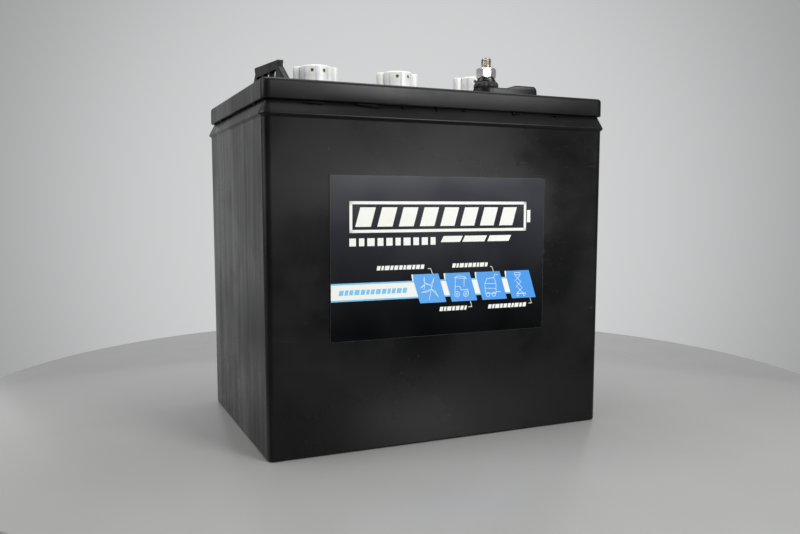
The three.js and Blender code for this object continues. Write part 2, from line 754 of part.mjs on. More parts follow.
function makeNut(terminal, bottom) {
  const top = bottom + NUT_HEIGHT;
  const corner = NUT_ACROSS_FLATS / Math.sqrt(3);
  const prism = new THREE.CylinderGeometry(corner, corner, NUT_HEIGHT, 6);
  prism.rotateX(Math.PI / 2);
  prism.rotateZ(Math.PI / 6);
  prism.translate(0, 0, bottom + NUT_HEIGHT / 2);
  const chamfer = turned([
    [0, bottom],
    [corner - 0.7, bottom],
    [corner + 0.2, bottom + 0.6],
    [corner + 0.2, top - 0.6],
    [corner - 0.7, top],
    [0, top],
  ]);
  const bore = rod(HOLE_RADIUS, bottom - 1, top + 1);
  const shape = cut(solid(prism).intersect(chamfer), bore);
  const nut = addPart(`${terminal.name}_nut`, shape, material.steel());
  nut.position.set(terminal.x, terminal.y, 0);
  nut.rotation.z = NUT_TURN;
}

// ---------------------------------------------------------------- handles

// The handle's flat outline: a short grip on wide sloping legs. x runs along the hinge, y up the plate.
function handleOutline() {
  const shape = new THREE.Shape();
  shape.moveTo(-HANDLE_HALF_BASE, HANDLE_BOTTOM);
  shape.lineTo(HANDLE_HALF_BASE, HANDLE_BOTTOM);
  shape.lineTo(HANDLE_HALF_BASE, HANDLE_FLARE_END);
  shape.lineTo(HANDLE_HALF_TOP, HANDLE_SHOULDER);
  shape.lineTo(HANDLE_HALF_TOP, HANDLE_TOP - 1.2);
  shape.lineTo(HANDLE_HALF_TOP - 1.2, HANDLE_TOP);
  shape.lineTo(-HANDLE_HALF_TOP + 1.2, HANDLE_TOP);
  shape.lineTo(-HANDLE_HALF_TOP, HANDLE_TOP - 1.2);
  shape.lineTo(-HANDLE_HALF_TOP, HANDLE_SHOULDER);
  shape.lineTo(-HANDLE_HALF_BASE, HANDLE_FLARE_END);
  shape.closePath();
  return shape;
}

// Built standing in the YZ plane with its hinge axis on the Y axis.
function handlePlate() {
  const half = HANDLE_THICKNESS / 2;
  const plate = extruded(handleOutline(), -half, half);
  plate.rotateX(Math.PI / 2);
  plate.rotateZ(Math.PI / 2);
  const gaps = FINGER_GAPS.map((place) => box(
    -half - 1, half + 1,
    place - FINGER_GAP_HALF_WIDTH, place + FINGER_GAP_HALF_WIDTH,
    FINGER_GAP_BOTTOM, FINGER_GAP_TOP,
  ));
  return cut(solid(plate), ...gaps);
}

// Knuckles wrap each pivot pin on both sides of the lid's ear.
function handleKnuckles(side) {
  const inner = EAR_HALF_WIDTH + CLEARANCE;
  const reach = inner + KNUCKLE_REACH;
  const centre = side * EAR_PLACE;
  const barrel = rodAlongY(KNUCKLE_RADIUS, centre - reach, centre + reach, 0, 0, ROUND_SIDES);
  const room = EAR_RADIUS + 0.7;
  const notch = box(-10, 10, centre - inner, centre + inner, -10, room);
  const bore = rodAlongY(PIN_RADIUS + CLEARANCE, centre - reach - 1, centre + reach + 1, 0, 0);
  return { barrel, notch, bore };
}

// A handle that has been used stands a little askew: the grip tilts and twists on its flexible legs.
function leanSlightly(shape) {
  return shape.warp((vertex) => {
    const rise = Math.max(0, vertex[2] - FINGER_GAP_BOTTOM) / (HANDLE_TOP - FINGER_GAP_BOTTOM);
    const along = vertex[1];
    vertex[0] -= LEAN_TWIST * along * rise;
    vertex[2] += LEAN_TILT * along * rise;
  });
}

function handleShape() {
  const knuckles = [-1, 1].map(handleKnuckles);
  const joined = unite(handlePlate(), ...knuckles.map((knuckle) => knuckle.barrel));
  return cut(
    joined,
    ...knuckles.map((knuckle) => knuckle.notch),
    ...knuckles.map((knuckle) => knuckle.bore),
  );
}

function makeHandles() {
  const raised = addPart('handle_left', leanSlightly(handleShape()), material.handleBlack());
  raised.position.set(-HANDLE_X, 0, HANDLE_AXIS);
  const folded = addPart('handle_right', handleShape(), material.handleBlack());
  folded.position.set(HANDLE_X, 0, HANDLE_AXIS);
  folded.rotation.y = Math.PI / 2;
}

function makeHandlePins(end, endName) {
  [['front', -1], ['rear', 1]].forEach(([sideName, side]) => {
    const centre = side * EAR_PLACE;
    const x = end * HANDLE_X;
    const pin = rodAlongY(PIN_RADIUS, centre - PIN_HALF_LENGTH, centre + PIN_HALF_LENGTH, x, HANDLE_AXIS);
    addPart(`handle_pin_${endName}_${sideName}`, pin, material.steel());
  });
}

// ---------------------------------------------------------------- inside the cells

// Offsets of one polarity's plates: negatives stand at both ends of the stack.
function plateOffsets(polarity) {
  const last = (PLATES_PER_CELL - 1) / 2;
  const first = polarity === 'negative' ? -last : -last + 1;
  const count = polarity === 'negative' ? last + 1 : last;
  return Array.from({ length: count }, (_, index) => (first + 2 * index) * PLATE_PITCH);
}

function makePlateGroup(cell, polarity) {
  const thickness = polarity === 'negative' ? NEGATIVE_PLATE : POSITIVE_PLATE;
  const side = polarity === 'positive' ? cell.positiveSide : -cell.positiveSide;
  const strapY = side * TERMINAL_Y;
  const pieces = plateOffsets(polarity).flatMap((offset) => {
    const x0 = cell.centre + offset - thickness / 2;
    const x1 = x0 + thickness;
    const plate = box(x0, x1, -PLATE_HALF_WIDTH, PLATE_HALF_WIDTH, PLATE_BOTTOM, PLATE_TOP);
    const lug = box(x0, x1, strapY - LUG_HALF_WIDTH, strapY + LUG_HALF_WIDTH, PLATE_TOP - 1, STRAP_BOTTOM + 1);
    return [plate, lug];
  });
  const strap = box(
    cell.centre - STRAP_HALF_LENGTH, cell.centre + STRAP_HALF_LENGTH,
    strapY - STRAP_HALF_WIDTH, strapY + STRAP_HALF_WIDTH,
    STRAP_BOTTOM, STRAP_TOP,
  );
  const whole = unite(strap, ...pieces, ...strapTabs(cell, strapY, side));
  const paste = polarity === 'positive' ? material.positivePaste() : material.negativePaste();
  addPart(`${polarity}_plates_cell_${cell.number}`, whole, paste);
}

// An upright tab where a strap is welded to its neighbour through the partition.
function strapTabs(cell, strapY, side) {
  const welded = partitions.filter((partition) => (
    partition.side === side && (partition.first === cell.number || partition.second === cell.number)
  ));
  return welded.map((partition) => {
    const towards = Math.sign(partition.place - cell.centre);
    const face = partition.place - towards * (PARTITION / 2 + TAB_GAP);
    const back = face - towards * TAB_THICKNESS;
    return box(
      Math.min(face, back), Math.max(face, back),
      strapY - STRAP_HALF_WIDTH, strapY + STRAP_HALF_WIDTH,
      STRAP_BOTTOM, TAB_TOP,
    );
  });
}

// One pleated sheet weaves between all the plates of a cell.
function makeSeparator(cell) {
  const sheetCount = PLATES_PER_CELL - 1;
  const reach = PLATE_HALF_WIDTH + 3;
  const pieces = [];
  for (let i = 0; i < sheetCount; i += 1) {
    const x = cell.centre + (i - (sheetCount - 1) / 2) * PLATE_PITCH;
    pieces.push(box(x - SEPARATOR / 2, x + SEPARATOR / 2, -reach, reach, PLATE_BOTTOM, SEPARATOR_TOP));
    if (i < sheetCount - 1) {
      const foldSide = i % 2 === 0 ? 1 : -1;
      const y = foldSide * (reach - SEPARATOR / 2);
      pieces.push(box(
        x, x + PLATE_PITCH, y - SEPARATOR / 2, y + SEPARATOR / 2, PLATE_BOTTOM, SEPARATOR_TOP,
      ));
    }
  }
  addPart(`separator_cell_${cell.number}`, unite(...pieces), material.separator());
}

// A slotted sheet over the plates keeps a filling nozzle off them.
function makePlateGuard(cell) {
  const sheet = box(
    cell.centre - GUARD_HALF_LENGTH, cell.centre + GUARD_HALF_LENGTH,
    -GUARD_HALF_WIDTH, GUARD_HALF_WIDTH,
    GUARD_BOTTOM, GUARD_BOTTOM + GUARD_THICKNESS,
  );
  const slots = [-30, -18, -6, 6, 18, 30].map((y) => box(
    cell.centre - GUARD_HALF_LENGTH + 5, cell.centre + GUARD_HALF_LENGTH - 5,
    y - 3, y + 3,
    GUARD_BOTTOM - 1, GUARD_BOTTOM + GUARD_THICKNESS + 1,
  ));
  addPart(`plate_guard_cell_${cell.number}`, cut(sheet, ...slots), material.separator());
}

function makeConnector(partition) {
  const half = PARTITION / 2 + TAB_GAP - CLEARANCE;
  const weld = rodAlongX(
    CONNECTOR_RADIUS,
    partition.place - half, partition.place + half,
    partition.side * TERMINAL_Y, CONNECTOR_HEIGHT,
  );
  addPart(`cell_connector_${partition.first}_${partition.second}`, weld, material.lead());
}

// ---------------------------------------------------------------- build

makeContainer();
makeLid();
makeLabel();
makeHandles();
makeHandlePins(-1, 'left');
makeHandlePins(1, 'right');

vents.forEach((vent) => {
  makeVentCap(vent);
  makeVentSeal(vent);
  makeVentBaffle(vent);
});

terminals.forEach((terminal) => {
  makeBushing(terminal);
  makePillar(terminal);
  makeStud(terminal);
  makeNut(terminal, makeWashers(terminal));
});

cells.forEach((cell) => {
  makePlateGroup(cell, 'positive');
  makePlateGroup(cell, 'negative');
  makeSeparator(cell);
  makePlateGuard(cell);
});

partitions.forEach(makeConnector);

export default battery;
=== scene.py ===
"""Looks for the deep cycle battery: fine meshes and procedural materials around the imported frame."""

import json
import math
import random

import bpy
import bmesh
from mathutils import Matrix, Vector


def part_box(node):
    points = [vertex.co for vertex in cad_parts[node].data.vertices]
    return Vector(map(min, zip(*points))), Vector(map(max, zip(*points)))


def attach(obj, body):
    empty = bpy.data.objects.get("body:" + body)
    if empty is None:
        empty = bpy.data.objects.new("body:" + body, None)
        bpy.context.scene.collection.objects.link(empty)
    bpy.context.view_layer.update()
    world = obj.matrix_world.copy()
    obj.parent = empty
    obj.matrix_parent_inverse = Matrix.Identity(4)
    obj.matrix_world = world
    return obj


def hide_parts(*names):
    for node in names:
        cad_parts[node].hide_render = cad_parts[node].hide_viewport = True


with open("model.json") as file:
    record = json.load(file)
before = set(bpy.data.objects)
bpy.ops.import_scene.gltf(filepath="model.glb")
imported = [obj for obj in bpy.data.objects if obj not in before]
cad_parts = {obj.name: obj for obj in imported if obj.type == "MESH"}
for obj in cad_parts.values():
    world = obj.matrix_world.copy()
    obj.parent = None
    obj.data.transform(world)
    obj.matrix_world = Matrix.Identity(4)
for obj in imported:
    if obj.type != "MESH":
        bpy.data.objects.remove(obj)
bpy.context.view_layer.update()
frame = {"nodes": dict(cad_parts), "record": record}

MM = 0.001
random.seed(7)

# ------------------------------------------------------------------ driving sizes, in millimetres

LID_LENGTH = 260.0
LID_WIDTH = 180.0
RIM_TOP = 245.0
LID_CORNER = 5.5
SKIRT_BOTTOM = 232.0
SKIRT_THICKNESS = 2.2
DECK_TOP = 242.0
LID_UNDERSIDE = 239.6
CASE_TAPER = 1.3
TOP_INSET = 0.1
BASE_EDGE = 1.6
LIP_STEP = 221.0
LIP_HEIGHT = 222.8
WALL_TOP = 239.3
FLOOR_THICKNESS = 4.0
INNER_HALF_LENGTH = 124.2
INNER_HALF_WIDTH = 84.2
PARTITION = 2.6
CELL_PITCH = (2 * INNER_HALF_LENGTH - 2 * PARTITION) / 3 + PARTITION
MUD_RIB_TOP = 22.0
MUD_RIBS = (-66.0, -24.0, 24.0, 66.0)

NECK_TOP = 250.0
NECK_BOTTOM = 219.0
LEDGE_TOP = 242.0
LEDGE_BOTTOM = 239.0
CAP_FLANGE_RADIUS = 13.9
CAP_FLANGE_HEIGHT = 2.0
CAP_BODY_RADIUS = 11.9
CAP_TOP = 269.3
CAP_BODY_BOTTOM = 250.3
CAP_PLUG_BOTTOM = 235.0
CAP_SHOULDER_BOTTOM = 244.6
CAVITY_TOP = 266.8
WING_REACH = 16.8
WING_HALF_THICKNESS = 3.0
WING_BOTTOM = 253.5
WING_TOP = 268.8
VENT_HOLE_HEIGHT = 265.1
VENT_HOLE_RADIUS = 1.3
VENT_HOLE_ANGLES = (75.0, 120.0, 255.0, 300.0)
CAP_TURNS = (-15.0, -8.3, -2.0)

TERMINAL_X = 49.6
TERMINAL_Y = 53.0
PAD_LOW = 252.9
PAD_HIGH = 255.3
PAD_START = 0.0
PAD_RAMP_START = 11.5
PAD_RAMP_END = 22.0
PAD_END = 40.0
PAD_HALF_WIDTH = 9.7
BUSHING_TOP = 257.6
BUSHING_RADIUS = 9.4
BARREL_RADIUS = 7.8
BUSHING_BORE_TOP = 255.3
STUD_RADIUS = 3.8
THREAD_PITCH = 1.25
THREAD_DEPTH = 0.62
HOLE_RADIUS = 4.2

HANDLE_X = 103.0
HANDLE_AXIS = 247.2
HANDLE_THICKNESS = 3.7
HANDLE_TOP = 21.5
HANDLE_HALF_TOP = 28.4
HANDLE_SHOULDER = 17.1
HANDLE_HALF_BASE = 52.0
HANDLE_BOTTOM = -3.2
FINGER_GAPS = (-17.5, 0.0, 17.5)
FINGER_GAP_HALF_WIDTH = 7.75
FINGER_GAP_BOTTOM = 7.0
FINGER_GAP_TOP = 14.7
KNUCKLE_RADIUS = 3.0
KNUCKLE_REACH = 6.0
LEAN_TILT = 0.046
LEAN_TWIST = 0.066
EAR_PLACE = 41.0
EAR_HALF_WIDTH = 3.0
EAR_RADIUS = 3.4

LABEL_LEFT = -86.8
LABEL_RIGHT = 77.6
LABEL_BOTTOM = 75.5
LABEL_TOP = 185.0
LABEL_GAP = 0.3
LABEL_THICKNESS = 0.4

PAD_SINK = 0.6
LOBE_DEPTH = 1.05
EAR_GAP = 0.3
AXIS_RADIUS = 0.0004
BARREL_GAP = 0.3
NUT_FLATS = 13.0
NUT_TURN = -113.0

CAMERA_LENS = 34.81
CAMERA_PLACE = (-0.2465, -0.5670, 0.1647)
CAMERA_TILT = 85.532
CAMERA_TURN = -23.70

TERMINALS = (
    ("positive", TERMINAL_X, -TERMINAL_Y, 0.0),
    ("negative", -TERMINAL_X, TERMINAL_Y, 180.0),
)

TILE_COUNT = 4
TILE_START = -22.0
TILE_PITCH = 24.5
TILE_WIDTH = 20.2
TILE_LEAN = -6.5
TILE_BOTTOM = 98.5
TILE_TOP = 118.6
STRIPE_BOTTOM = 102.2
STRIPE_TOP = 114.3
STRIPE_BORDER = 1.1

CAPTIONS = (
    (-54.2, -17.1, 122.2, (-14.2, 122.2), (-12.7, TILE_TOP)),
    (-7.2, 14.9, 92.3, (18.4, 94.1), (17.1, TILE_BOTTOM)),
    (2.4, 32.2, 122.3, (34.3, 122.1), (35.7, TILE_TOP)),
    (31.5, 64.8, 92.1, (68.1, 94.3), (66.7, TILE_BOTTOM)),
)

SLANTED_BARS = ((-6.5, 8.5), (10.3, 28.0), (30.3, 47.9))

BACKDROP_DIRECTION = (0.402, 0.914, -0.01)


def front_wall(z):
    """Distance of the front wall from the centre plane at a height."""
    share = (z - BASE_EDGE) / (LIP_STEP - 0.5 - BASE_EDGE)
    return LID_WIDTH / 2 - CASE_TAPER + (CASE_TAPER - TOP_INSET) * share


# ------------------------------------------------------------------ node material helpers


class Maker:
    """A short way to wire one procedural material."""

    def __init__(self, name):
        self.material = bpy.data.materials.new(name)
        self.material.use_nodes = True
        self.tree = self.material.node_tree
        self.tree.nodes.clear()
        self.output = self.node("ShaderNodeOutputMaterial")
        self.shader = self.node("ShaderNodeBsdfPrincipled")
        self.link(self.shader.outputs["BSDF"], self.output.inputs["Surface"])
        self.place = self.node("ShaderNodeTexCoord").outputs["Object"]

    def node(self, kind, **settings):
        made = self.tree.nodes.new(kind)
        for key, value in settings.items():
            setattr(made, key, value)
        return made

    def link(self, source, target):
        self.tree.links.new(source, target)

    def scaled(self, scale, offset=(0, 0, 0)):
        mapping = self.node("ShaderNodeMapping")
        mapping.inputs["Scale"].default_value = scale
        mapping.inputs["Location"].default_value = offset
        self.link(self.place, mapping.inputs["Vector"])
        return mapping.outputs["Vector"]

    def noise(self, scale, detail=4.0, roughness=0.55, stretch=(1, 1, 1), offset=(0, 0, 0)):
        texture = self.node("ShaderNodeTexNoise")
        self.link(self.scaled(stretch, offset), texture.inputs["Vector"])
        texture.inputs["Scale"].default_value = scale
        texture.inputs["Detail"].default_value = detail
        texture.inputs["Roughness"].default_value = roughness
        return texture.outputs["Fac"]

    def ramp(self, value, low, high, start=0.0, end=1.0):
        mapped = self.node("ShaderNodeMapRange")
        mapped.interpolation_type = "SMOOTHSTEP"
        self.link(value, mapped.inputs["Value"])
        mapped.inputs["From Min"].default_value = low
        mapped.inputs["From Max"].default_value = high
        mapped.inputs["To Min"].default_value = start
        mapped.inputs["To Max"].default_value = end
        return mapped.outputs["Result"]

    def math(self, operation, a, b):
        made = self.node("ShaderNodeMath", operation=operation)
        for socket, value in zip(made.inputs, (a, b)):
            if isinstance(value, (int, float)):
                socket.default_value = value
            else:
                self.link(value, socket)
        return made.outputs["Value"]

    def mix(self, factor, first, second):
        made = self.node("ShaderNodeMix", data_type="RGBA")
        if isinstance(factor, (int, float)):
            made.inputs["Factor"].default_value = factor
        else:
            self.link(factor, made.inputs["Factor"])
        for key, value in (("A", first), ("B", second)):
            socket = [s for s in made.inputs if s.name == key and s.type == "RGBA"][0]
            if isinstance(value, tuple):
                socket.default_value = (*value, 1.0)
            else:
                self.link(value, socket)
        return [s for s in made.outputs if s.type == "RGBA"][0]

    def edges(self, radius, gain=5.0):
        """1 along sharp edges and 0 on flat stretches: how far a rounded normal leaves the true one."""
        rounded = self.node("ShaderNodeBevel", samples=4)
        rounded.inputs["Radius"].default_value = radius
        true = self.node("ShaderNodeNewGeometry").outputs["Normal"]
        dot = self.node("ShaderNodeVectorMath", operation="DOT_PRODUCT")
        self.link(rounded.outputs["Normal"], dot.inputs[0])
        self.link(true, dot.inputs[1])
        away = self.math("SUBTRACT", 1.0, dot.outputs["Value"])
        return self.ramp(self.math("MULTIPLY", away, gain), 0.05, 1.0)

    def bump(self, height, strength, distance, chained=None):
        made = self.node("ShaderNodeBump")
        made.inputs["Strength"].default_value = strength
        made.inputs["Distance"].default_value = distance
        self.link(height, made.inputs["Height"])
        if chained is not None:
            self.link(chained, made.inputs["Normal"])
        return made.outputs["Normal"]

    def set(self, **values):
        for key, value in values.items():
            socket = self.shader.inputs[key.replace("_", " ")]
            if hasattr(value, "is_linked"):
                self.link(value, socket)
            elif isinstance(value, tuple) and len(value) == 3 and socket.type == "RGBA":
                socket.default_value = (*value, 1.0)
            else:
                socket.default_value = value
        return self.material


# ------------------------------------------------------------------ materials


def moulded_black(name, dark, light, roughness, streak, grain, shine=0.5, scuffing=0.14):
    """Black moulded polypropylene: flow mottling, long scuffs, fine grain and slightly paler edges.

    The streak is the stretch of the scuffs' pattern, so scuffs run along the axes with low numbers.
    """
    m = Maker(name)
    mottle = m.ramp(m.noise(14.0, 5.0), 0.35, 0.7)
    scuffs = m.ramp(m.noise(20.0, 6.0, 0.7, stretch=streak), 0.60, 0.78)
    fine = m.ramp(m.noise(160.0, 3.0, 0.6, stretch=streak), 0.66, 0.8)
    patches = m.ramp(m.noise(7.0, 2.0, 0.5, offset=(3.1, 1.7, 0.4)), 0.45, 0.75)
    marks = m.math("MULTIPLY", m.math("MAXIMUM", scuffs, fine), patches)
    wear = m.math("MULTIPLY", m.edges(0.0009), m.ramp(m.noise(90.0, 4.0), 0.35, 0.65))
    body = m.mix(mottle, dark, light)
    scratched = m.mix(m.math("MULTIPLY", marks, scuffing), body, (0.08, 0.08, 0.077))
    worn = m.mix(m.math("MULTIPLY", wear, 0.16), scratched, (0.07, 0.07, 0.068))
    dust = m.ramp(m.noise(420.0, 2.0, 0.5), 0.72, 0.8, 0.0, 0.07)
    dusty = m.mix(dust, worn, (0.32, 0.32, 0.30))
    base_rough = m.ramp(mottle, 0.0, 1.0, roughness - 0.05, roughness + 0.05)
    rough = m.math("ADD", base_rough, m.math("MULTIPLY", marks, 0.16))
    runs = m.ramp(m.noise(5.0, 5.0, 0.6, stretch=(1.0, 22.0, 1.4)), 0.35, 0.68, -0.05, 0.07)
    rough = m.math("ADD", rough, runs)
    normal = m.bump(m.noise(grain, 2.0, 0.6), 0.10, 0.0002)
    normal = m.bump(m.noise(9.0, 2.0, 0.4), 0.35, 0.0012, normal)
    normal = m.bump(marks, 0.10, 0.0002, normal)
    return m.set(
        Base_Color=dusty, Roughness=rough, Normal=normal, IOR=1.49, Specular_IOR_Level=shine,
    )


def white_plastic():
    """Milky polypropylene: light passes a little way in; handling greys it in patches."""
    m = Maker("cap_white")
    cloudy = m.ramp(m.noise(60.0, 4.0), 0.3, 0.75)
    grime = m.math("MULTIPLY", m.ramp(m.noise(130.0, 5.0, 0.65), 0.5, 0.8), 0.35)
    clean = m.mix(cloudy, (0.64, 0.65, 0.63), (0.73, 0.74, 0.72))
    dirty = m.mix(grime, clean, (0.62, 0.60, 0.54))
    worn = m.mix(m.math("MULTIPLY", m.edges(0.0006), 0.5), dirty, (0.80, 0.80, 0.78))
    rough = m.ramp(m.noise(80.0, 3.0), 0.2, 0.8, 0.30, 0.44)
    normal = m.bump(m.noise(700.0, 2.0), 0.05, 0.0002)
    return m.set(
        Base_Color=worn, Roughness=rough, Normal=normal, IOR=1.49,
        Subsurface_Weight=0.35, Subsurface_Radius=(0.004, 0.0038, 0.0034), Subsurface_Scale=0.6,
    )


def vent_membrane():
    m = Maker("vent_membrane")
    speck = m.ramp(m.noise(900.0, 3.0), 0.3, 0.7)
    tone = m.mix(speck, (0.11, 0.105, 0.055), (0.22, 0.21, 0.12))
    return m.set(Base_Color=tone, Roughness=0.8, Normal=m.bump(m.noise(1500.0), 0.3, 0.0001))


def rubber():
    m = Maker("seal_rubber")
    tone = m.mix(m.ramp(m.noise(120.0), 0.3, 0.7), (0.012, 0.012, 0.012), (0.03, 0.03, 0.03))
    rough = m.ramp(m.noise(300.0), 0.2, 0.8, 0.65, 0.85)
    return m.set(Base_Color=tone, Roughness=rough, Normal=m.bump(m.noise(800.0), 0.15, 0.0002))


def metal(
    name, dark, light, rough_low, rough_high,
    stretch=(1, 1, 1), scale=120.0, grain=900.0, bump=0.12,
):
    """A bare metal with brushed or cast grain, patchy roughness and brighter edges."""
    m = Maker(name)
    field = m.ramp(m.noise(scale, 5.0, 0.6, stretch=stretch), 0.3, 0.7)
    tone = m.mix(field, dark, light)
    bright = tuple(min(1.0, c * 1.25) for c in light)
    edged = m.mix(m.math("MULTIPLY", m.edges(0.0004), 0.6), tone, bright)
    rough = m.ramp(m.noise(scale * 1.7, 4.0, 0.6, stretch=stretch), 0.25, 0.75, rough_low, rough_high)
    normal = m.bump(m.noise(grain, 3.0, 0.6, stretch=stretch), bump, 0.0002)
    return m.set(Base_Color=edged, Roughness=rough, Normal=normal, Metallic=1.0)


def dark_lead():
    """Cast lead under a thin black dip coat: matt, finely pitted, grey where it has been rubbed."""
    m = Maker("dark_lead")
    patches = m.ramp(m.noise(45.0, 5.0, 0.65), 0.5, 0.72)
    edges = m.math("MULTIPLY", m.edges(0.0008), 0.8)
    rubbed = m.math("MAXIMUM", edges, m.math("MULTIPLY", patches, 0.5))
    tone = m.mix(rubbed, (0.014, 0.0143, 0.015), (0.085, 0.087, 0.09))
    rough = m.ramp(m.noise(120.0, 4.0), 0.2, 0.8, 0.42, 0.68)
    normal = m.bump(m.noise(260.0, 4.0, 0.6), 0.35, 0.0003)
    return m.set(Base_Color=tone, Roughness=rough, Normal=normal, Metallic=0.25)


def paste(name, dark, light):
    """Active paste pressed in a cast grid: fine crumb with a lattice of paler wires."""
    m = Maker(name)
    crumb = m.ramp(m.noise(500.0, 5.0, 0.7), 0.3, 0.7)
    tone = m.mix(crumb, dark, light)
    grid = m.node("ShaderNodeTexBrick")
    grid.offset = 0.0
    m.link(m.scaled((0.0, 90.0, 90.0)), grid.inputs["Vector"])
    wires = m.mix(m.math("MULTIPLY", grid.outputs["Fac"], 0.6), tone, (0.28, 0.29, 0.31))
    return m.set(Base_Color=wires, Roughness=0.82, Normal=m.bump(crumb, 0.3, 0.0003))


def separator_sheet():
    m = Maker("separator_sheet")
    cloud = m.ramp(m.noise(80.0, 4.0), 0.3, 0.7)
    tone = m.mix(cloud, (0.58, 0.57, 0.50), (0.72, 0.71, 0.65))
    ribs = m.node("ShaderNodeTexWave", wave_type="BANDS", bands_direction="Y")
    m.link(m.place, ribs.inputs["Vector"])
    ribs.inputs["Scale"].default_value = 60.0
    return m.set(Base_Color=tone, Roughness=0.75, Normal=m.bump(ribs.outputs["Fac"], 0.3, 0.0004))


def label_film():
    """Printed film: navy at the top fading to black, with a hard gloss and a slightly wavy lay."""
    m = Maker("label_film")
    parts = m.node("ShaderNodeSeparateXYZ")
    m.link(m.place, parts.inputs["Vector"])
    height = m.ramp(parts.outputs["Z"], LABEL_BOTTOM * MM, LABEL_TOP * MM)
    tone = m.mix(height, (0.0002, 0.0003, 0.0005), (0.026, 0.028, 0.036))
    cloud = m.ramp(m.noise(18.0, 4.0), 0.3, 0.75)
    varied = m.mix(m.math("MULTIPLY", cloud, 0.14), tone, (0.003, 0.004, 0.006))
    scratch = m.ramp(m.noise(240.0, 4.0, 0.6, stretch=(0.05, 1.0, 1.0)), 0.68, 0.8, 0.0, 0.12)
    marked = m.mix(scratch, varied, (0.16, 0.17, 0.19))
    edge = m.mix(m.math("MULTIPLY", m.edges(0.0005), 0.35), marked, (0.22, 0.23, 0.25))
    rough = m.ramp(m.noise(30.0, 4.0), 0.2, 0.8, 0.15, 0.26)
    normal = m.bump(m.noise(12.0, 2.0), 0.25, 0.0008)
    normal = m.bump(m.noise(700.0, 2.0), 0.03, 0.0001, normal)
    return m.set(
        Base_Color=edge, Roughness=rough, Normal=normal, IOR=1.5, Specular_IOR_Level=0.22,
    )


def print_ink(name, low, high):
    """Printed ink whose tone runs along the length, under the film's gloss."""
    m = Maker(name)
    parts = m.node("ShaderNodeSeparateXYZ")
    m.link(m.place, parts.inputs["Vector"])
    along = m.ramp(parts.outputs["X"], LABEL_LEFT * MM, LABEL_RIGHT * MM)
    speck = m.math("MULTIPLY", m.ramp(m.noise(900.0, 2.0), 0.6, 0.8), 0.12)
    tone = m.mix(speck, m.mix(along, low, high), tuple(0.75 * c for c in low))
    rough = m.ramp(m.noise(40.0, 3.0), 0.2, 0.8, 0.18, 0.30)
    normal = m.bump(m.noise(12.0, 2.0), 0.2, 0.0006)
    return m.set(
        Base_Color=tone, Roughness=rough, Normal=normal, IOR=1.5, Specular_IOR_Level=0.3,
    )


CASE_BLACK = moulded_black(
    "case_black", (0.0022, 0.0024, 0.0023), (0.0042, 0.0044, 0.0042),
    roughness=0.30, streak=(1.0, 1.0, 14.0), grain=900.0, shine=0.25,
)
# Flash beads: black plastic a touch darker than the case, with fewer pale scuffs, as painted shade for
# the shadow gaps under the lid's weld.
FLASH_BLACK_PAINTED_SHADE = moulded_black(
    "flash_black_painted_shade", (0.002, 0.002, 0.002), (0.004, 0.004, 0.004),
    roughness=0.62, streak=(1.0, 1.0, 1.0), grain=500.0, shine=0.08, scuffing=0.05,
)
LID_BLACK = moulded_black(
    "lid_black", (0.0040, 0.0042, 0.0041), (0.0070, 0.0072, 0.0070),
    roughness=0.34, streak=(1.0, 1.0, 9.0), grain=700.0, shine=0.18, scuffing=0.32,
)
HANDLE_BLACK = moulded_black(
    "handle_black", (0.0035, 0.0036, 0.0037), (0.0062, 0.0063, 0.0063),
    roughness=0.40, streak=(6.0, 1.0, 1.0), grain=500.0, shine=0.1,
)
CAP_WHITE = white_plastic()
MEMBRANE = vent_membrane()
RUBBER = rubber()
DARK_LEAD = dark_lead()
CAST_LEAD = metal(
    "cast_lead", (0.20, 0.21, 0.23), (0.34, 0.35, 0.37), 0.45, 0.65,
    scale=60.0, grain=300.0, bump=0.3,
)
STUD_STEEL = metal("stud_steel", (0.40, 0.37, 0.32), (0.58, 0.55, 0.49), 0.24, 0.40, scale=90.0)
NUT_STEEL = metal(
    "nut_steel", (0.66, 0.65, 0.63), (0.80, 0.79, 0.77), 0.12, 0.24,
    stretch=(1, 1, 6), scale=80.0, bump=0.05,
)
# Washer steel coloured near black: the washers are real parts, and their darkness is painted shade under
# the nut.
WASHER_STEEL_PAINTED_SHADE = metal(
    "washer_steel_painted_shade", (0.035, 0.034, 0.032), (0.075, 0.073, 0.068), 0.30, 0.46, scale=90.0,
)
PIN_STEEL = metal("pin_steel", (0.42, 0.42, 0.41), (0.56, 0.56, 0.54), 0.25, 0.40)
BROWN_PASTE = paste("brown_paste", (0.055, 0.030, 0.020), (0.12, 0.066, 0.045))
GREY_PASTE = paste("grey_paste", (0.13, 0.14, 0.155), (0.23, 0.24, 0.26))
SEPARATOR = separator_sheet()
LABEL_FILM = label_film()
INK_WHITE = print_ink("ink_white", (0.83, 0.84, 0.79), (0.84, 0.85, 0.80))
INK_BLUE = print_ink("ink_blue", (0.145, 0.40, 0.78), (0.075, 0.31, 0.77))
INK_PALE = print_ink("ink_pale_blue", (0.20, 0.52, 0.80), (0.22, 0.55, 0.82))
INK_SIGN = print_ink("ink_sign", (0.60, 0.80, 0.92), (0.62, 0.82, 0.94))

SLOT_MATERIALS = {
    "case_plastic": CASE_BLACK,
    "lid_plastic": LID_BLACK,
    "label_film": LABEL_FILM,
    "handle_plastic": HANDLE_BLACK,
    "pin_steel": PIN_STEEL,
    "cap_plastic": CAP_WHITE,
    "seal_rubber": RUBBER,
    "terminal_lead": DARK_LEAD,
    "cast_lead": CAST_LEAD,
    "stud_steel": STUD_STEEL,
    "nut_steel": NUT_STEEL,
    "positive_paste": BROWN_PASTE,
    "negative_paste": GREY_PASTE,
    "separator_plastic": SEPARATOR,
}


# ------------------------------------------------------------------ mesh helpers


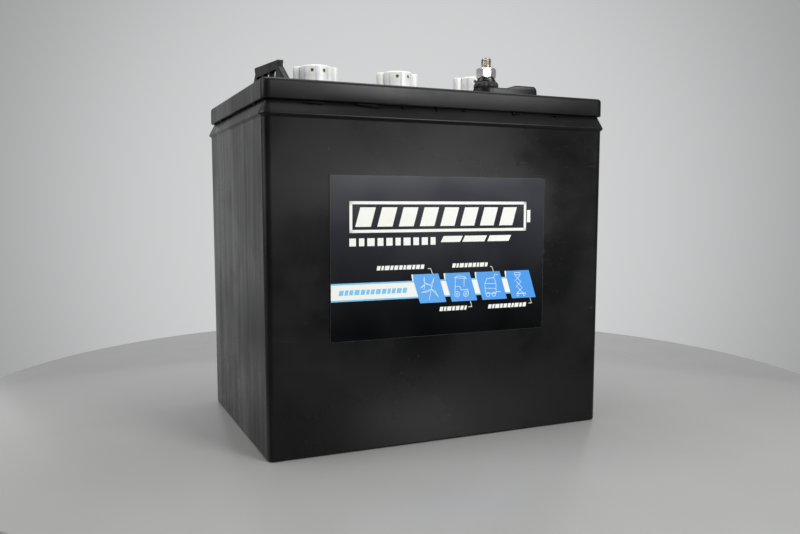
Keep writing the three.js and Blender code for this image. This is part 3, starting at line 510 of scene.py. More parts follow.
def mesh_object(name, points, faces, material, smooth=40.0):
    """A mesh from points in millimetres, outward-facing, shaded smooth below the given angle."""
    data = bpy.data.meshes.new(name)
    data.from_pydata([Vector(p) * MM for p in points], [], faces)
    work = bmesh.new()
    work.from_mesh(data)
    bmesh.ops.remove_doubles(work, verts=work.verts, dist=1e-7)
    bmesh.ops.recalc_face_normals(work, faces=work.faces)
    work.to_mesh(data)
    work.free()
    made = bpy.data.objects.new(name, data)
    bpy.context.scene.collection.objects.link(made)
    data.materials.append(material)
    shade(made, smooth)
    return made


def shade(made, angle):
    for face in made.data.polygons:
        face.use_smooth = angle > 0
    if angle > 0:
        made.data.set_sharp_from_angle(angle=math.radians(angle))


def applied(made, smooth=40.0):
    """Turns the object's modifiers into mesh."""
    bpy.context.view_layer.update()
    evaluated = made.evaluated_get(bpy.context.evaluated_depsgraph_get())
    fresh = bpy.data.meshes.new_from_object(evaluated)
    made.modifiers.clear()
    made.data = fresh
    shade(made, smooth)
    return made


def bevelled(made, width, segments=3, angle=35.0, smooth=40.0):
    modifier = made.modifiers.new("edge", "BEVEL")
    modifier.width = width * MM
    modifier.segments = segments
    modifier.limit_method = "ANGLE"
    modifier.angle_limit = math.radians(angle)
    return applied(made, smooth)


def drilled(made, tools, smooth=40.0):
    """Cuts the tools out of the object and removes them."""
    for tool in tools:
        modifier = made.modifiers.new("cut", "BOOLEAN")
        modifier.operation = "DIFFERENCE"
        modifier.solver = "EXACT"
        modifier.object = tool
    applied(made, smooth)
    for tool in tools:
        bpy.data.objects.remove(tool)
    return made


def joined(name, pieces):
    """One object from several; the pieces may pass through each other."""
    bpy.ops.object.select_all(action="DESELECT")
    for piece in pieces:
        piece.select_set(True)
    bpy.context.view_layer.objects.active = pieces[0]
    bpy.ops.object.join()
    whole = bpy.context.view_layer.objects.active
    whole.name = name
    whole.data.name = name
    return whole


def arc(centre_x, centre_y, radius, start, end, steps):
    """Points along an arc, in degrees, both ends included."""
    points = []
    for i in range(steps + 1):
        angle = math.radians(start + (end - start) * i / steps)
        points.append((centre_x + radius * math.cos(angle), centre_y + radius * math.sin(angle)))
    return points


def rounded_rectangle(half_x, half_y, corner, steps=8):
    points = []
    points += arc(half_x - corner, half_y - corner, corner, 0, 90, steps)
    points += arc(-half_x + corner, half_y - corner, corner, 90, 180, steps)
    points += arc(-half_x + corner, -half_y + corner, corner, 180, 270, steps)
    points += arc(half_x - corner, -half_y + corner, corner, 270, 360, steps)
    return points


def loft(name, rings, material, smooth=40.0, closed=False):
    """A skin over rings of equal length; its ends are capped, or joined to each other when closed."""
    count = len(rings[0])
    points = [p for ring in rings for p in ring]
    faces = []
    spans = len(rings) if closed else len(rings) - 1
    for i in range(spans):
        base = i * count
        top = ((i + 1) % len(rings)) * count
        for j in range(count):
            k = (j + 1) % count
            faces.append((base + j, base + k, top + k, top + j))
    if not closed:
        faces.append(tuple(range(count)))
        faces.append(tuple(range(len(points) - 1, len(points) - 1 - count, -1)))
    return mesh_object(name, points, faces, material, smooth)


def block_rings(rings):
    """Rounded rectangles from (height, inset from the lid's outline); corners follow the inset."""
    made = []
    for height, inset in rings:
        radius = max(LID_CORNER - inset, 0.8)
        outline = rounded_rectangle(LID_LENGTH / 2 - inset, LID_WIDTH / 2 - inset, radius)
        made.append([(x, y, height) for x, y in outline])
    return made


def level_ring(height, reach, sides, centre=(0.0, 0.0), turn=0.0):
    """A ring round an upright axis; its radius is a function of the angle measured from the turn."""
    ring = []
    for j in range(sides):
        angle = 2 * math.pi * j / sides
        r = reach(angle)
        spun = angle + turn
        ring.append((centre[0] + r * math.cos(spun), centre[1] + r * math.sin(spun), height))
    return ring


def lathe(name, profile, material, centre=(0.0, 0.0), sides=64, smooth=35.0, closed=False):
    """A turned piece from [(radius, height)]; open profiles run from axis to axis."""
    rings = []
    for radius, height in profile:
        r = max(radius, AXIS_RADIUS)
        rings.append(level_ring(height, lambda angle: r, sides, centre))
    return loft(name, rings, material, smooth, closed)


def extruded(name, outline, axis, low, high, material, smooth=40.0):
    """An outline drawn across the axis X, Y or Z, given length along it."""
    k = "XYZ".index(axis)
    rings = [[(*point[:k], reach, *point[k:]) for point in outline] for reach in (low, high)]
    return loft(name, rings, material, smooth)


def cube(name, low, high, material, smooth=0.0):
    outline = [(low[0], low[1]), (high[0], low[1]), (high[0], high[1]), (low[0], high[1])]
    return extruded(name, outline, "Z", low[2], high[2], material, smooth)


def moved(made, turn_z=0.0, shift=(0.0, 0.0, 0.0)):
    """Turns a mesh about the vertical axis, in degrees, and shifts it, in millimetres."""
    place = Matrix.Translation(Vector(shift) * MM) @ Matrix.Rotation(math.radians(turn_z), 4, "Z")
    made.data.transform(place)
    return made


def ready(made, body, slot, *nodes):
    """Gives a finished piece its body and hides the CAD nodes it stands for; the material slot is not
    used.
    """
    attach(made, body)
    if nodes:
        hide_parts(*nodes)
    return made


# ------------------------------------------------------------------ camera


def make_camera():
    """Low and to the left of the label side, about 0.65 m away."""
    data = bpy.data.cameras.new("camera")
    data.sensor_width = 36.0
    data.lens = CAMERA_LENS
    camera = bpy.data.objects.new("camera", data)
    camera.location = CAMERA_PLACE
    camera.rotation_euler = (math.radians(CAMERA_TILT), 0.0, math.radians(CAMERA_TURN))
    bpy.context.scene.collection.objects.link(camera)
    bpy.context.scene.camera = camera


# ------------------------------------------------------------------ container


def make_case():
    """The walls with a soft lip under the lid, the hollow inside and the partitions."""
    outside = [
        (0.0, 2.7), (0.3, 2.0), (0.8, 1.55), (BASE_EDGE, CASE_TAPER),
        (60.0, 0.98), (120.0, 0.65), (180.0, 0.32), (LIP_STEP - 0.5, TOP_INSET),
        (LIP_STEP, 0.0), (LIP_STEP + 0.35, -0.35), (LIP_STEP + 0.9, -1.1),
        (LIP_HEIGHT - 0.25, -1.68), (LIP_HEIGHT, -1.78), (LIP_HEIGHT + 0.2, -1.76),
        (LIP_HEIGHT + 0.7, -1.55), (LIP_HEIGHT + 2.5, -0.7), (LIP_HEIGHT + 8.2, 2.3),
        (LIP_HEIGHT + 9.0, 2.65), (WALL_TOP - 0.3, 2.75), (WALL_TOP, 3.2),
    ]
    inner_inset = LID_LENGTH / 2 - INNER_HALF_LENGTH
    inside = [
        (WALL_TOP, inner_inset - 0.4), (WALL_TOP - 0.5, inner_inset),
        (FLOOR_THICKNESS + 1, inner_inset), (FLOOR_THICKNESS, inner_inset + 1.5),
    ]
    shell = loft("case_shell", block_rings(outside + inside), CASE_BLACK)
    pieces = [shell]
    for side in (-1, 1):
        x = side * CELL_PITCH / 2
        low = (x - PARTITION / 2, -INNER_HALF_WIDTH - 0.5, FLOOR_THICKNESS - 1)
        high = (x + PARTITION / 2, INNER_HALF_WIDTH + 0.5, WALL_TOP - 0.2)
        pieces.append(cube("partition", low, high, CASE_BLACK))
    for y in MUD_RIBS:
        low = (-INNER_HALF_LENGTH - 0.5, y - 1.5, FLOOR_THICKNESS - 1)
        high = (INNER_HALF_LENGTH + 0.5, y + 1.5, MUD_RIB_TOP)
        pieces.append(cube("mud_rib", low, high, CASE_BLACK))
    case = joined("case_shell", pieces)
    ready(case, "root", "case_plastic", "container")


def bead(name, centre, sizes, seed):
    """A small uneven drip of plastic."""
    rng = random.Random(seed)
    work = bmesh.new()
    bmesh.ops.create_icosphere(work, subdivisions=3, radius=1.0)
    waves = []
    for _ in range(4):
        direction = Vector((rng.uniform(-3, 3), rng.uniform(-3, 3), rng.uniform(-3, 3)))
        waves.append((direction, rng.uniform(0, 6)))
    for vertex in work.verts:
        push = sum(math.sin(vertex.co.dot(direction) + phase) for direction, phase in waves)
        vertex.co *= 1.0 + 0.09 * push
        vertex.co = Vector((c * s for c, s in zip(vertex.co, sizes))) + Vector(centre)
        vertex.co *= MM
    data = bpy.data.meshes.new(name)
    work.to_mesh(data)
    work.free()
    made = bpy.data.objects.new(name, data)
    bpy.context.scene.collection.objects.link(made)
    # The beads' slightly darker black is painted shade under the weld.
    data.materials.append(FLASH_BLACK_PAINTED_SHADE)
    shade(made, 180.0)
    return made


def make_flash():
    """Beads of melted plastic along the lid's weld, and one whisker at the rear left."""
    seam = SKIRT_BOTTOM - 0.9
    front = -LID_WIDTH / 2 + 1.5
    spots = [
        (-97.0, 6.0, 0.9), (-92.0, 3.0, 1.3), (-61.0, 7.5, 1.0), (-55.0, 4.0, 1.5), (-34.0, 1.0, 0.8),
        (-9.0, 0.8, 1.9), (12.0, 1.6, 0.7), (52.0, 1.0, 1.7), (55.0, 2.6, 0.7), (88.0, 2.0, 0.6),
    ]
    pieces = []
    for number, (x, length, drop) in enumerate(spots):
        sizes = (length, 0.9, drop)
        pieces.append(bead("flash", (x, front, seam - 0.4 * drop), sizes, number))
    rear = [(-40.0, 3.0, 0.8), (20.0, 5.0, 1.0), (75.0, 2.0, 1.2)]
    for number, (x, length, drop) in enumerate(rear):
        pieces.append(bead("flash", (x, -front, seam - 0.4 * drop), (length, 0.9, drop), 20 + number))
    for number, (y, length) in enumerate([(-50.0, 3.0), (10.0, 5.0), (62.0, 2.5)]):
        for end in (-1, 1):
            centre = (end * (LID_LENGTH / 2 - 1.9), y * end, seam - 0.1)
            pieces.append(bead("flash", centre, (0.7, length, 0.6), 40 + 5 * number + end))
    whisker = bead("whisker", (-130.3, 84.5, LIP_HEIGHT + 0.6), (1.2, 1.5, 0.5), 90)
    pieces.append(whisker)
    ready(joined("weld_flash", pieces), "root", "case_plastic")


# ------------------------------------------------------------------ lid


def lid_tray():
    """Deck, raised rim, skirt and underside as one skin, from the deck's middle outward."""
    rings = [
        (DECK_TOP, 40.0), (DECK_TOP, 5.0), (DECK_TOP + 0.15, 4.35), (DECK_TOP + 0.6, 4.05),
        (RIM_TOP - 0.9, 4.0), (RIM_TOP - 0.35, 3.85), (RIM_TOP, 3.3), (RIM_TOP, 2.3),
        (RIM_TOP - 0.15, 1.5), (RIM_TOP - 0.6, 0.75), (RIM_TOP - 1.3, 0.28), (RIM_TOP - 2.2, 0.05),
        (RIM_TOP - 3.2, 0.0), (SKIRT_BOTTOM + 0.8, 0.0), (SKIRT_BOTTOM + 0.25, 0.15),
        (SKIRT_BOTTOM, 0.6), (SKIRT_BOTTOM, 1.7), (SKIRT_BOTTOM + 0.4, 2.15),
        (LID_UNDERSIDE, SKIRT_THICKNESS), (LID_UNDERSIDE, 40.0),
    ]
    return loft("lid_tray", block_rings(rings), LID_BLACK)


def round_cutter(radius, z0, z1, x, y):
    return lathe("cutter", [(0, z0), (radius, z0), (radius, z1), (0, z1)], LID_BLACK, (x, y), 48)


def sector_cutter(radius, turn, half_angle, x):
    outline = [(x, 0.0)] + arc(x, 0.0, radius, turn - half_angle, turn + half_angle, 8)
    return extruded("cutter", outline, "Z", LEDGE_BOTTOM - 1, LEDGE_TOP + 1, LID_BLACK)


def filler_neck(x, turn):
    """A neck with a bayonet ledge, two entry slots, and a tube that hangs down into the cell."""
    profile = [
        (13.6, NECK_BOTTOM), (13.6, 240.5), (14.6, 241.0), (15.0, 243.0),
        (14.95, NECK_TOP - 0.6), (14.7, NECK_TOP - 0.15), (14.3, NECK_TOP),
        (12.8, NECK_TOP), (12.35, NECK_TOP - 0.2), (12.2, NECK_TOP - 0.6),
        (12.2, LEDGE_TOP), (9.9, LEDGE_TOP), (9.6, LEDGE_TOP - 0.3),
        (9.6, LEDGE_BOTTOM), (11.6, LEDGE_BOTTOM), (11.6, NECK_BOTTOM),
    ]
    neck = lathe("neck", profile, LID_BLACK, (x, 0.0), 64, 35.0, closed=True)
    slots = [sector_cutter(11.4, turn + side, 27.0, x) for side in (0.0, 180.0)]
    level = cube("cutter", (x - 1.5, -20, 218.0), (x + 1.5, 20, 231.0), LID_BLACK)
    return drilled(neck, slots + [level], 35.0)


def pad_outline():
    """Side view of a terminal pad: low beside the terminal, then a step up with soft corners."""
    points = [(PAD_START, DECK_TOP - PAD_SINK), (PAD_END, DECK_TOP - PAD_SINK)]
    points += arc(PAD_END - 4.6, PAD_HIGH - 3.6, 3.6, 8, 90, 8)
    rise = PAD_HIGH - PAD_LOW
    for i in range(13):
        share = i / 12
        height = PAD_HIGH - rise * (3 * share ** 2 - 2 * share ** 3)
        points.append((PAD_RAMP_END - (PAD_RAMP_END - PAD_RAMP_START) * share, height))
    points += [(PAD_START, PAD_LOW)]
    return points


def terminal_pad(terminal):
    name, x, y, turn = terminal
    half = PAD_HALF_WIDTH
    pad = extruded("pad", pad_outline(), "Y", -half, half, LID_BLACK)
    bevelled(pad, 0.9, 4, 50.0)
    tower_profile = [
        (0, DECK_TOP - PAD_SINK), (half, DECK_TOP - PAD_SINK), (half, PAD_LOW - 0.9),
        (half - 0.25, PAD_LOW - 0.25), (half - 0.9, PAD_LOW), (0, PAD_LOW),
    ]
    tower = lathe("tower", tower_profile, LID_BLACK)
    low = PAD_HIGH - 0.6
    high = PAD_HIGH + 0.5
    strokes = [cube("mark", (23.5, -0.9, low), (33.5, 0.9, high), LID_BLACK)]
    if name == "positive":
        strokes.append(cube("mark", (27.6, -5.0, low), (29.4, 5.0, high), LID_BLACK))
    marks = [bevelled(stroke, 0.3, 2) for stroke in strokes]
    for solid in (pad, tower):
        drilled(solid, [round_cutter(BARREL_RADIUS + BARREL_GAP, 230, 270, 0.0, 0.0)])
    whole = joined("terminal_pad", [pad, tower] + marks)
    return moved(whole, turn, (x, y, 0))


def handle_ear(end, side):
    """A rounded ear with the pivot hole through it."""
    x = end * HANDLE_X
    outline = [(x + EAR_RADIUS, DECK_TOP - PAD_SINK), (x + EAR_RADIUS, HANDLE_AXIS)]
    outline += arc(x, HANDLE_AXIS, EAR_RADIUS, 0, 180, 16)[1:]
    outline += [(x - EAR_RADIUS, DECK_TOP - PAD_SINK)]
    y0 = side * EAR_PLACE - EAR_HALF_WIDTH
    y1 = side * EAR_PLACE + EAR_HALF_WIDTH
    ear = extruded("ear", outline, "Y", y0, y1, LID_BLACK)
    bevelled(ear, 0.5, 3, 50.0)
    hole = arc(x, HANDLE_AXIS, 1.6, 0, 345, 23)
    cutter = extruded("cutter", hole, "Y", y0 - 1, y1 + 1, LID_BLACK)
    return drilled(ear, [cutter])



def vent_places():
    """Each cap's number, X from its CAD seal, and turn."""
    places = []
    for number, turn in enumerate(CAP_TURNS, 1):
        low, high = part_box(f"vent_seal_{number}")
        places.append((number, (low.x + high.x) / 2 / MM, turn))
    return places


def make_lid():
    cutters = [round_cutter(13.2, 230, 250, x, 0.0) for _, x, _ in vent_places()]
    cutters += [round_cutter(BARREL_RADIUS + BARREL_GAP, 230, 250, x, y) for _, x, y, _ in TERMINALS]
    pieces = [drilled(lid_tray(), cutters)]
    pieces += [filler_neck(x, turn) for _, x, turn in vent_places()]
    pieces += [terminal_pad(terminal) for terminal in TERMINALS]
    pieces += [handle_ear(end, side) for end in (-1, 1) for side in (-1, 1)]
    ready(joined("lid_shell", pieces), "root", "lid_plastic", "lid")


# ------------------------------------------------------------------ vent caps


def cap_radius(angle):
    """Eight soft facets round the knob."""
    return CAP_BODY_RADIUS * (1.0 - 0.012 * (1 - math.cos(8 * angle)) / 2)


def cap_knob():
    """Plug, shoulder and faceted knob, hollow from below."""
    body = CAP_BODY_RADIUS
    flange = CAP_FLANGE_RADIUS
    base = CAP_BODY_BOTTOM
    step = CAP_BODY_BOTTOM + CAP_FLANGE_HEIGHT
    profile = [
        (0.0, CAVITY_TOP), (6.6, CAVITY_TOP - 0.5), (7.0, CAVITY_TOP - 1.1),
        (7.0, CAP_PLUG_BOTTOM + 0.4), (7.3, CAP_PLUG_BOTTOM), (8.8, CAP_PLUG_BOTTOM),
        (9.2, CAP_PLUG_BOTTOM + 0.5), (9.2, CAP_SHOULDER_BOTTOM), (11.6, CAP_SHOULDER_BOTTOM),
        (11.8, CAP_SHOULDER_BOTTOM + 0.3), (11.8, base), (flange - 0.3, base), (flange, base + 0.3),
        (flange, step - 0.4), (flange - 0.4, step), (body + 0.5, step + 0.1), (body, step + 0.8),
        (body, 262.0), (body, CAP_TOP - 1.4), (body - 0.15, CAP_TOP - 0.8),
        (body - 0.55, CAP_TOP - 0.25), (body - 1.2, CAP_TOP), (body - 2.4, CAP_TOP - 0.05),
        (body - 3.2, CAP_TOP - 0.7), (body - 4.0, CAP_TOP - 0.75), (0.0, CAP_TOP - 0.75),
    ]
    rings = []
    for radius, height in profile:
        def reach(angle):
            share = cap_radius(angle) / body if radius > 12.0 else 1.0
            return max(radius * share, AXIS_RADIUS)
        rings.append(level_ring(height, reach, 96))
    return loft("knob", rings, CAP_WHITE, 35.0)


def cap_wing(side):
    """One finger wing, rounded at its tip."""
    tip = WING_REACH - WING_HALF_THICKNESS
    outline = arc(tip, 0.0, WING_HALF_THICKNESS, -90, 90, 10)
    outline += [(9.5, WING_HALF_THICKNESS), (9.5, -WING_HALF_THICKNESS)]
    wing = extruded("wing", outline, "Z", WING_BOTTOM, WING_TOP, CAP_WHITE)
    return moved(bevelled(wing, 0.7, 3, 50.0), 0.0 if side > 0 else 180.0)


def cap_lug(side):
    """A bayonet lug low on the plug."""
    outline = arc(0.0, 0.0, 10.9, -21, 21, 8) + arc(0.0, 0.0, 8.4, 21, -21, 4)
    lug = extruded("lug", outline, "Z", CAP_PLUG_BOTTOM, LEDGE_BOTTOM - 0.3, CAP_WHITE)
    return moved(bevelled(lug, 0.3, 2, 50.0), 0.0 if side > 0 else 180.0)


def ridge(angle):
    """A slim upright grip rib between two facets."""
    outline = arc(CAP_BODY_RADIUS - 0.65, 0.0, 0.75, -90, 90, 6)
    outline += [(CAP_BODY_RADIUS - 1.6, 0.75), (CAP_BODY_RADIUS - 1.6, -0.75)]
    step = CAP_BODY_BOTTOM + CAP_FLANGE_HEIGHT
    rib = extruded("ridge", outline, "Z", step, CAP_TOP - 1.2, CAP_WHITE)
    return moved(bevelled(rib, 0.25, 2, 60.0), angle)


def hole_cutter(angle):
    ring = arc(0.0, VENT_HOLE_HEIGHT, VENT_HOLE_RADIUS, 0, 345, 23)
    body = CAP_BODY_RADIUS
    return moved(extruded("cutter", ring, "X", body - 4.5, body + 2, CAP_WHITE), angle)


def membrane_disc(angle):
    """The brownish gauze that shows in a vent hole."""
    ring = arc(0.0, VENT_HOLE_HEIGHT, VENT_HOLE_RADIUS + 0.25, 0, 345, 23)
    body = CAP_BODY_RADIUS
    return moved(extruded("membrane", ring, "X", body - 1.7, body - 1.2, MEMBRANE, 0.0), angle)


def make_caps():
    for number, x, turn in vent_places():
        knob = drilled(cap_knob(), [hole_cutter(angle) for angle in VENT_HOLE_ANGLES], 35.0)
        pieces = [knob]
        pieces += [cap_wing(side) for side in (-1, 1)]
        pieces += [cap_lug(side) for side in (-1, 1)]
        pieces += [ridge(angle) for angle in (45, 90, 135, 225, 270, 315)]
        cap = moved(joined(f"vent_cap_body_{number}", pieces), turn, (x, 0, 0))
        ready(cap, f"vent_cap_{number}", "cap_plastic", f"vent_cap_{number}")
        discs = joined(f"vent_gauze_{number}", [membrane_disc(angle) for angle in VENT_HOLE_ANGLES])
        moved(discs, turn, (x, 0, 0))
        ready(discs, f"vent_cap_{number}", "cap_plastic")


# ------------------------------------------------------------------ terminals


def bushing_head(x, y):
    """A lobed lead head with a rounded crown, bored for the stud."""
    head = BUSHING_RADIUS
    top = BUSHING_TOP
    profile = [
        (BARREL_RADIUS, LID_UNDERSIDE, 0.0), (BARREL_RADIUS, PAD_LOW + 0.3, 0.0),
        (head - 0.4, PAD_LOW + 0.3, 1.0), (head, PAD_LOW + 0.8, 1.0), (head - 0.05, top - 2.2, 1.0),
        (head - 0.45, top - 1.1, 1.0), (head - 1.1, top - 0.4, 0.8), (head - 2.0, top - 0.05, 0.5),
        (head - 2.8, top, 0.0), (4.6, top, 0.0), (4.2, top - 0.4, 0.0),
        (4.2, BUSHING_BORE_TOP + 0.1, 0.0), (6.3, BUSHING_BORE_TOP, 0.0), (6.3, LID_UNDERSIDE, 0.0),
    ]
    rings = []
    for radius, height, lobed in profile:
        def reach(angle):
            return radius - lobed * LOBE_DEPTH * (1 - abs(math.cos(4 * angle))) ** 1.5
        rings.append(level_ring(height, reach, 128, (x, y)))
    return loft("bushing", rings, DARK_LEAD, 40.0, closed=True)


def threaded_rod(z0, z1, centre):
    """The stud's shank: a rounded thread climbs it in a helix, above a plain stretch."""
    sides = 40
    steps = int((z1 - z0) / THREAD_PITCH * 8)
    start = BUSHING_TOP - 2.0
    rings = []
    for i in range(steps + 1):
        z = z0 + (z1 - z0) * i / steps
        fade = min(1.0, max(0.0, (z - start) / THREAD_PITCH))
        end = min(1.0, max(0.0, (z1 - z) / 0.9))
        ring = []
        for j in range(sides):
            angle = 2 * math.pi * j / sides
            phase = (z / THREAD_PITCH - j / sides) % 1.0
            groove = abs(2 * phase - 1) ** 1.3
            r = STUD_RADIUS - THREAD_DEPTH * groove * fade - 0.7 * (1 - end)
            ring.append((centre[0] + r * math.cos(angle), centre[1] + r * math.sin(angle), z))
        rings.append(ring)
    return loft("rod", rings, STUD_STEEL, 30.0)


def make_stud(name, x, y):
    low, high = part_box(f"{name}_stud")
    bottom = low.z / MM
    top = high.z / MM
    profile = [
        (0, bottom), (5.6, bottom), (5.8, bottom + 0.2),
        (5.8, bottom + 2.0), (5.6, bottom + 2.2), (0, bottom + 2.2),
    ]
    head = lathe("head", profile, STUD_STEEL, (x, y), 48)
    rod = threaded_rod(bottom + 1.0, top, (x, y))
    ready(joined(f"{name}_threaded_stud", [head, rod]), "root", "stud_steel", f"{name}_stud")


def make_washers(name, x, y):
    low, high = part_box(f"{name}_flat_washer")
    z0 = low.z / MM
    z1 = high.z / MM
    profile = [
        (4.4, z0), (7.1, z0), (7.3, z0 + 0.15), (7.3, z1 - 0.2),
        (7.1, z1), (4.4, z1), (4.2, z1 - 0.2), (4.2, z0 + 0.2),
    ]
    # The plain washer's near-black steel is painted shade under the nut.
    flat = lathe("flat", profile, WASHER_STEEL_PAINTED_SHADE, (x, y), 64, 30.0, closed=True)
    flat.name = f"{name}_plain_washer"
    ready(flat, "root", "stud_steel", f"{name}_flat_washer")
    low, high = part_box(f"{name}_spring_washer")
    z0 = low.z / MM
    thickness = (high.z - low.z) / MM
    rings = []
    steps = 72
    gap = math.radians(7.0)
    for i in range(steps + 1):
        angle = gap + (2 * math.pi - 2 * gap) * i / steps
        section = [(4.25, z0 + 0.1), (4.4, z0), (6.4, z0), (6.55, z0 + 0.1), (6.55, z0 + thickness - 0.1)]
        section += [(6.4, z0 + thickness), (4.4, z0 + thickness), (4.25, z0 + thickness - 0.1)]
        rings.append([(x + r * math.cos(angle), y + r * math.sin(angle), z) for r, z in section])
    # The split washer's near-black steel is painted shade under the nut.
    spring = loft(f"{name}_split_washer", rings, WASHER_STEEL_PAINTED_SHADE, 30.0)
    ready(spring, f"{name}_lock_washer", "stud_steel", f"{name}_spring_washer")


def make_nut(name, x, y):
    """A hexagon with its corners turned off at both ends, and a threaded bore."""
    low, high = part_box(f"{name}_nut")
    z0 = low.z / MM
    z1 = high.z / MM
    sides = 96
    turn = math.radians(NUT_TURN)
    corner = NUT_FLATS / math.sqrt(3)
    levels = [
        (z0, 0.0), (z0 + 0.15, 0.25), (z0 + 0.45, 0.7), (z0 + 0.8, 1.2),
        (z1 - 0.8, 1.2), (z1 - 0.45, 0.7), (z1 - 0.15, 0.25), (z1, 0.0),
    ]
    bore = [
        (z1 - 0.05, HOLE_RADIUS + 0.55), (z1 - 0.6, HOLE_RADIUS),
        (z0 + 0.6, HOLE_RADIUS), (z0 + 0.05, HOLE_RADIUS + 0.55),
    ]
    rings = []
    for height, growth in levels:
        def reach(angle):
            local = (angle + math.pi / 6) % (math.pi / 3) - math.pi / 6
            hexagon = NUT_FLATS / 2 / math.cos(local)
            return min(hexagon, NUT_FLATS / 2 - 0.15 + growth, corner - 0.05)
        rings.append(level_ring(height, reach, sides, (x, y), turn))
    for height, radius in bore:
        rings.append(level_ring(height, lambda angle: radius, sides, (x, y), turn))
    nut = loft(f"{name}_hex_nut", rings, NUT_STEEL, 22.0, closed=True)
    ready(nut, f"{name}_nut", "nut_steel", f"{name}_nut")


def make_terminals():
    for name, x, y, _ in TERMINALS:
        bushing = bushing_head(x, y)
        bushing.name = f"{name}_lead_bushing"
        ready(bushing, "root", "terminal_lead", f"{name}_bushing")
        make_stud(name, x, y)
        make_washers(name, x, y)
        make_nut(name, x, y)


# ------------------------------------------------------------------ handles


def handle_plate():
    """The flat handle with three finger openings, standing in the YZ plane on its hinge axis."""
    half = HANDLE_THICKNESS / 2
    base = HANDLE_HALF_BASE
    grip = HANDLE_HALF_TOP
    outline = [
        (-base, HANDLE_BOTTOM), (base, HANDLE_BOTTOM), (base, 3.0),
        (grip, HANDLE_SHOULDER), (grip, HANDLE_TOP - 0.9), (grip - 0.9, HANDLE_TOP),
        (-grip + 0.9, HANDLE_TOP), (-grip, HANDLE_TOP - 0.9), (-grip, HANDLE_SHOULDER),
        (-base, 3.0),
    ]
    plate = extruded("plate", outline, "X", -half, half, HANDLE_BLACK)
    cutters = []
    middle = (FINGER_GAP_BOTTOM + FINGER_GAP_TOP) / 2
    half_height = (FINGER_GAP_TOP - FINGER_GAP_BOTTOM) / 2
    for place in FINGER_GAPS:
        rounded = rounded_rectangle(FINGER_GAP_HALF_WIDTH, half_height, 1.4, 4)
        window = [(place + y, middle + z) for y, z in rounded]
        cutters.append(extruded("cutter", window, "X", -half - 1, half + 1, HANDLE_BLACK))
    for side in (-1, 1):
        centre = side * EAR_PLACE
        reach = EAR_HALF_WIDTH + EAR_GAP
        low = (-10, centre - reach, -10)
        cutters.append(cube("cutter", low, (10, centre + reach, 4.6), HANDLE_BLACK))
    return bevelled(drilled(plate, cutters), 0.45, 3, 40.0)


def knuckle(side, offset):
    """A barrel on the hinge axis, beside one face of an ear."""
    inner = EAR_HALF_WIDTH + EAR_GAP
    y0 = side * EAR_PLACE + (inner if offset > 0 else -inner - KNUCKLE_REACH)
    ring = arc(0.0, 0.0, KNUCKLE_RADIUS, 0, 352.5, 47)
    barrel = extruded("knuckle", ring, "Y", y0, y0 + KNUCKLE_REACH, HANDLE_BLACK)
    return bevelled(barrel, 0.4, 3, 60.0)


def lean(made):
    """Tilts and twists the grip a little on its flexible legs."""
    for vertex in made.data.vertices:
        rise = max(0.0, vertex.co.z / MM - FINGER_GAP_BOTTOM) / (HANDLE_TOP - FINGER_GAP_BOTTOM)
        along = vertex.co.y
        vertex.co.x -= LEAN_TWIST * along * rise
        vertex.co.z += LEAN_TILT * along * rise


def make_handles():
    for end, name in ((-1, "handle_left"), (1, "handle_right")):
        pieces = [handle_plate()]
        pieces += [knuckle(side, offset) for side in (-1, 1) for offset in (-1, 1)]
        handle = joined(f"{name}_bail", pieces)
        if end < 0:
            lean(handle)
        else:
            handle.data.transform(Matrix.Rotation(math.radians(90), 4, "Y"))
        moved(handle, 0.0, (end * HANDLE_X, 0.0, HANDLE_AXIS))
        ready(handle, name, "handle_plastic", name)


# ------------------------------------------------------------------ label


def on_wall(x, z, lift):
    """A point on the label's face, lifted clear of it."""
    return (x, -(front_wall(z) + LABEL_GAP + lift), z)


def label_slab(name, outline, low, high, material, smooth=0.0):
    """A thin flat shape between two lifts off the wall, from its outline in X and Z."""
    rings = [[on_wall(x, z, lift) for x, z in outline] for lift in (low, high)]
    return loft(name, rings, material, smooth)


def printed(name, outline, material, lift=0.42, thickness=0.03):
    """A flat printed shape on the label, from its outline in X and Z."""
    return label_slab(name, outline, lift, lift + thickness, material)


def slanted(x0, x1, z0, z1, slant):
    """A parallelogram whose top is shifted right by the slant."""
    return [(x0, z0), (x1, z0), (x1 + slant, z1), (x0 + slant, z1)]


def stroke(points, width, material, lift=0.5):
    """A printed line of even width through the points, one short bar a stretch with round joints."""
    pieces = []
    for (ax, az), (bx, bz) in zip(points, points[1:]):
        length = math.hypot(bx - ax, bz - az) or 1.0
        nx = -(bz - az) / length * width / 2
        nz = (bx - ax) / length * width / 2
        outline = [(ax + nx, az + nz), (ax - nx, az - nz), (bx - nx, bz - nz), (bx + nx, bz + nz)]
        pieces.append(printed("stroke", outline, material, lift))
    for x, z in points:
        pieces.append(printed("joint", arc(x, z, width / 2, 0, 315, 7), material, lift + 0.001))
    return pieces


def label_base():
    """The film itself, with rounded corners and a hairline thickness."""
    centre_x = (LABEL_LEFT + LABEL_RIGHT) / 2
    centre_z = (LABEL_BOTTOM + LABEL_TOP) / 2
    half_x = (LABEL_RIGHT - LABEL_LEFT) / 2
    half_z = (LABEL_TOP - LABEL_BOTTOM) / 2
    outline = [(centre_x + x, centre_z + z) for x, z in rounded_rectangle(half_x, half_z, 1.2, 6)]
    return label_slab("label_base", outline, 0.0, LABEL_THICKNESS, LABEL_FILM, 30.0)


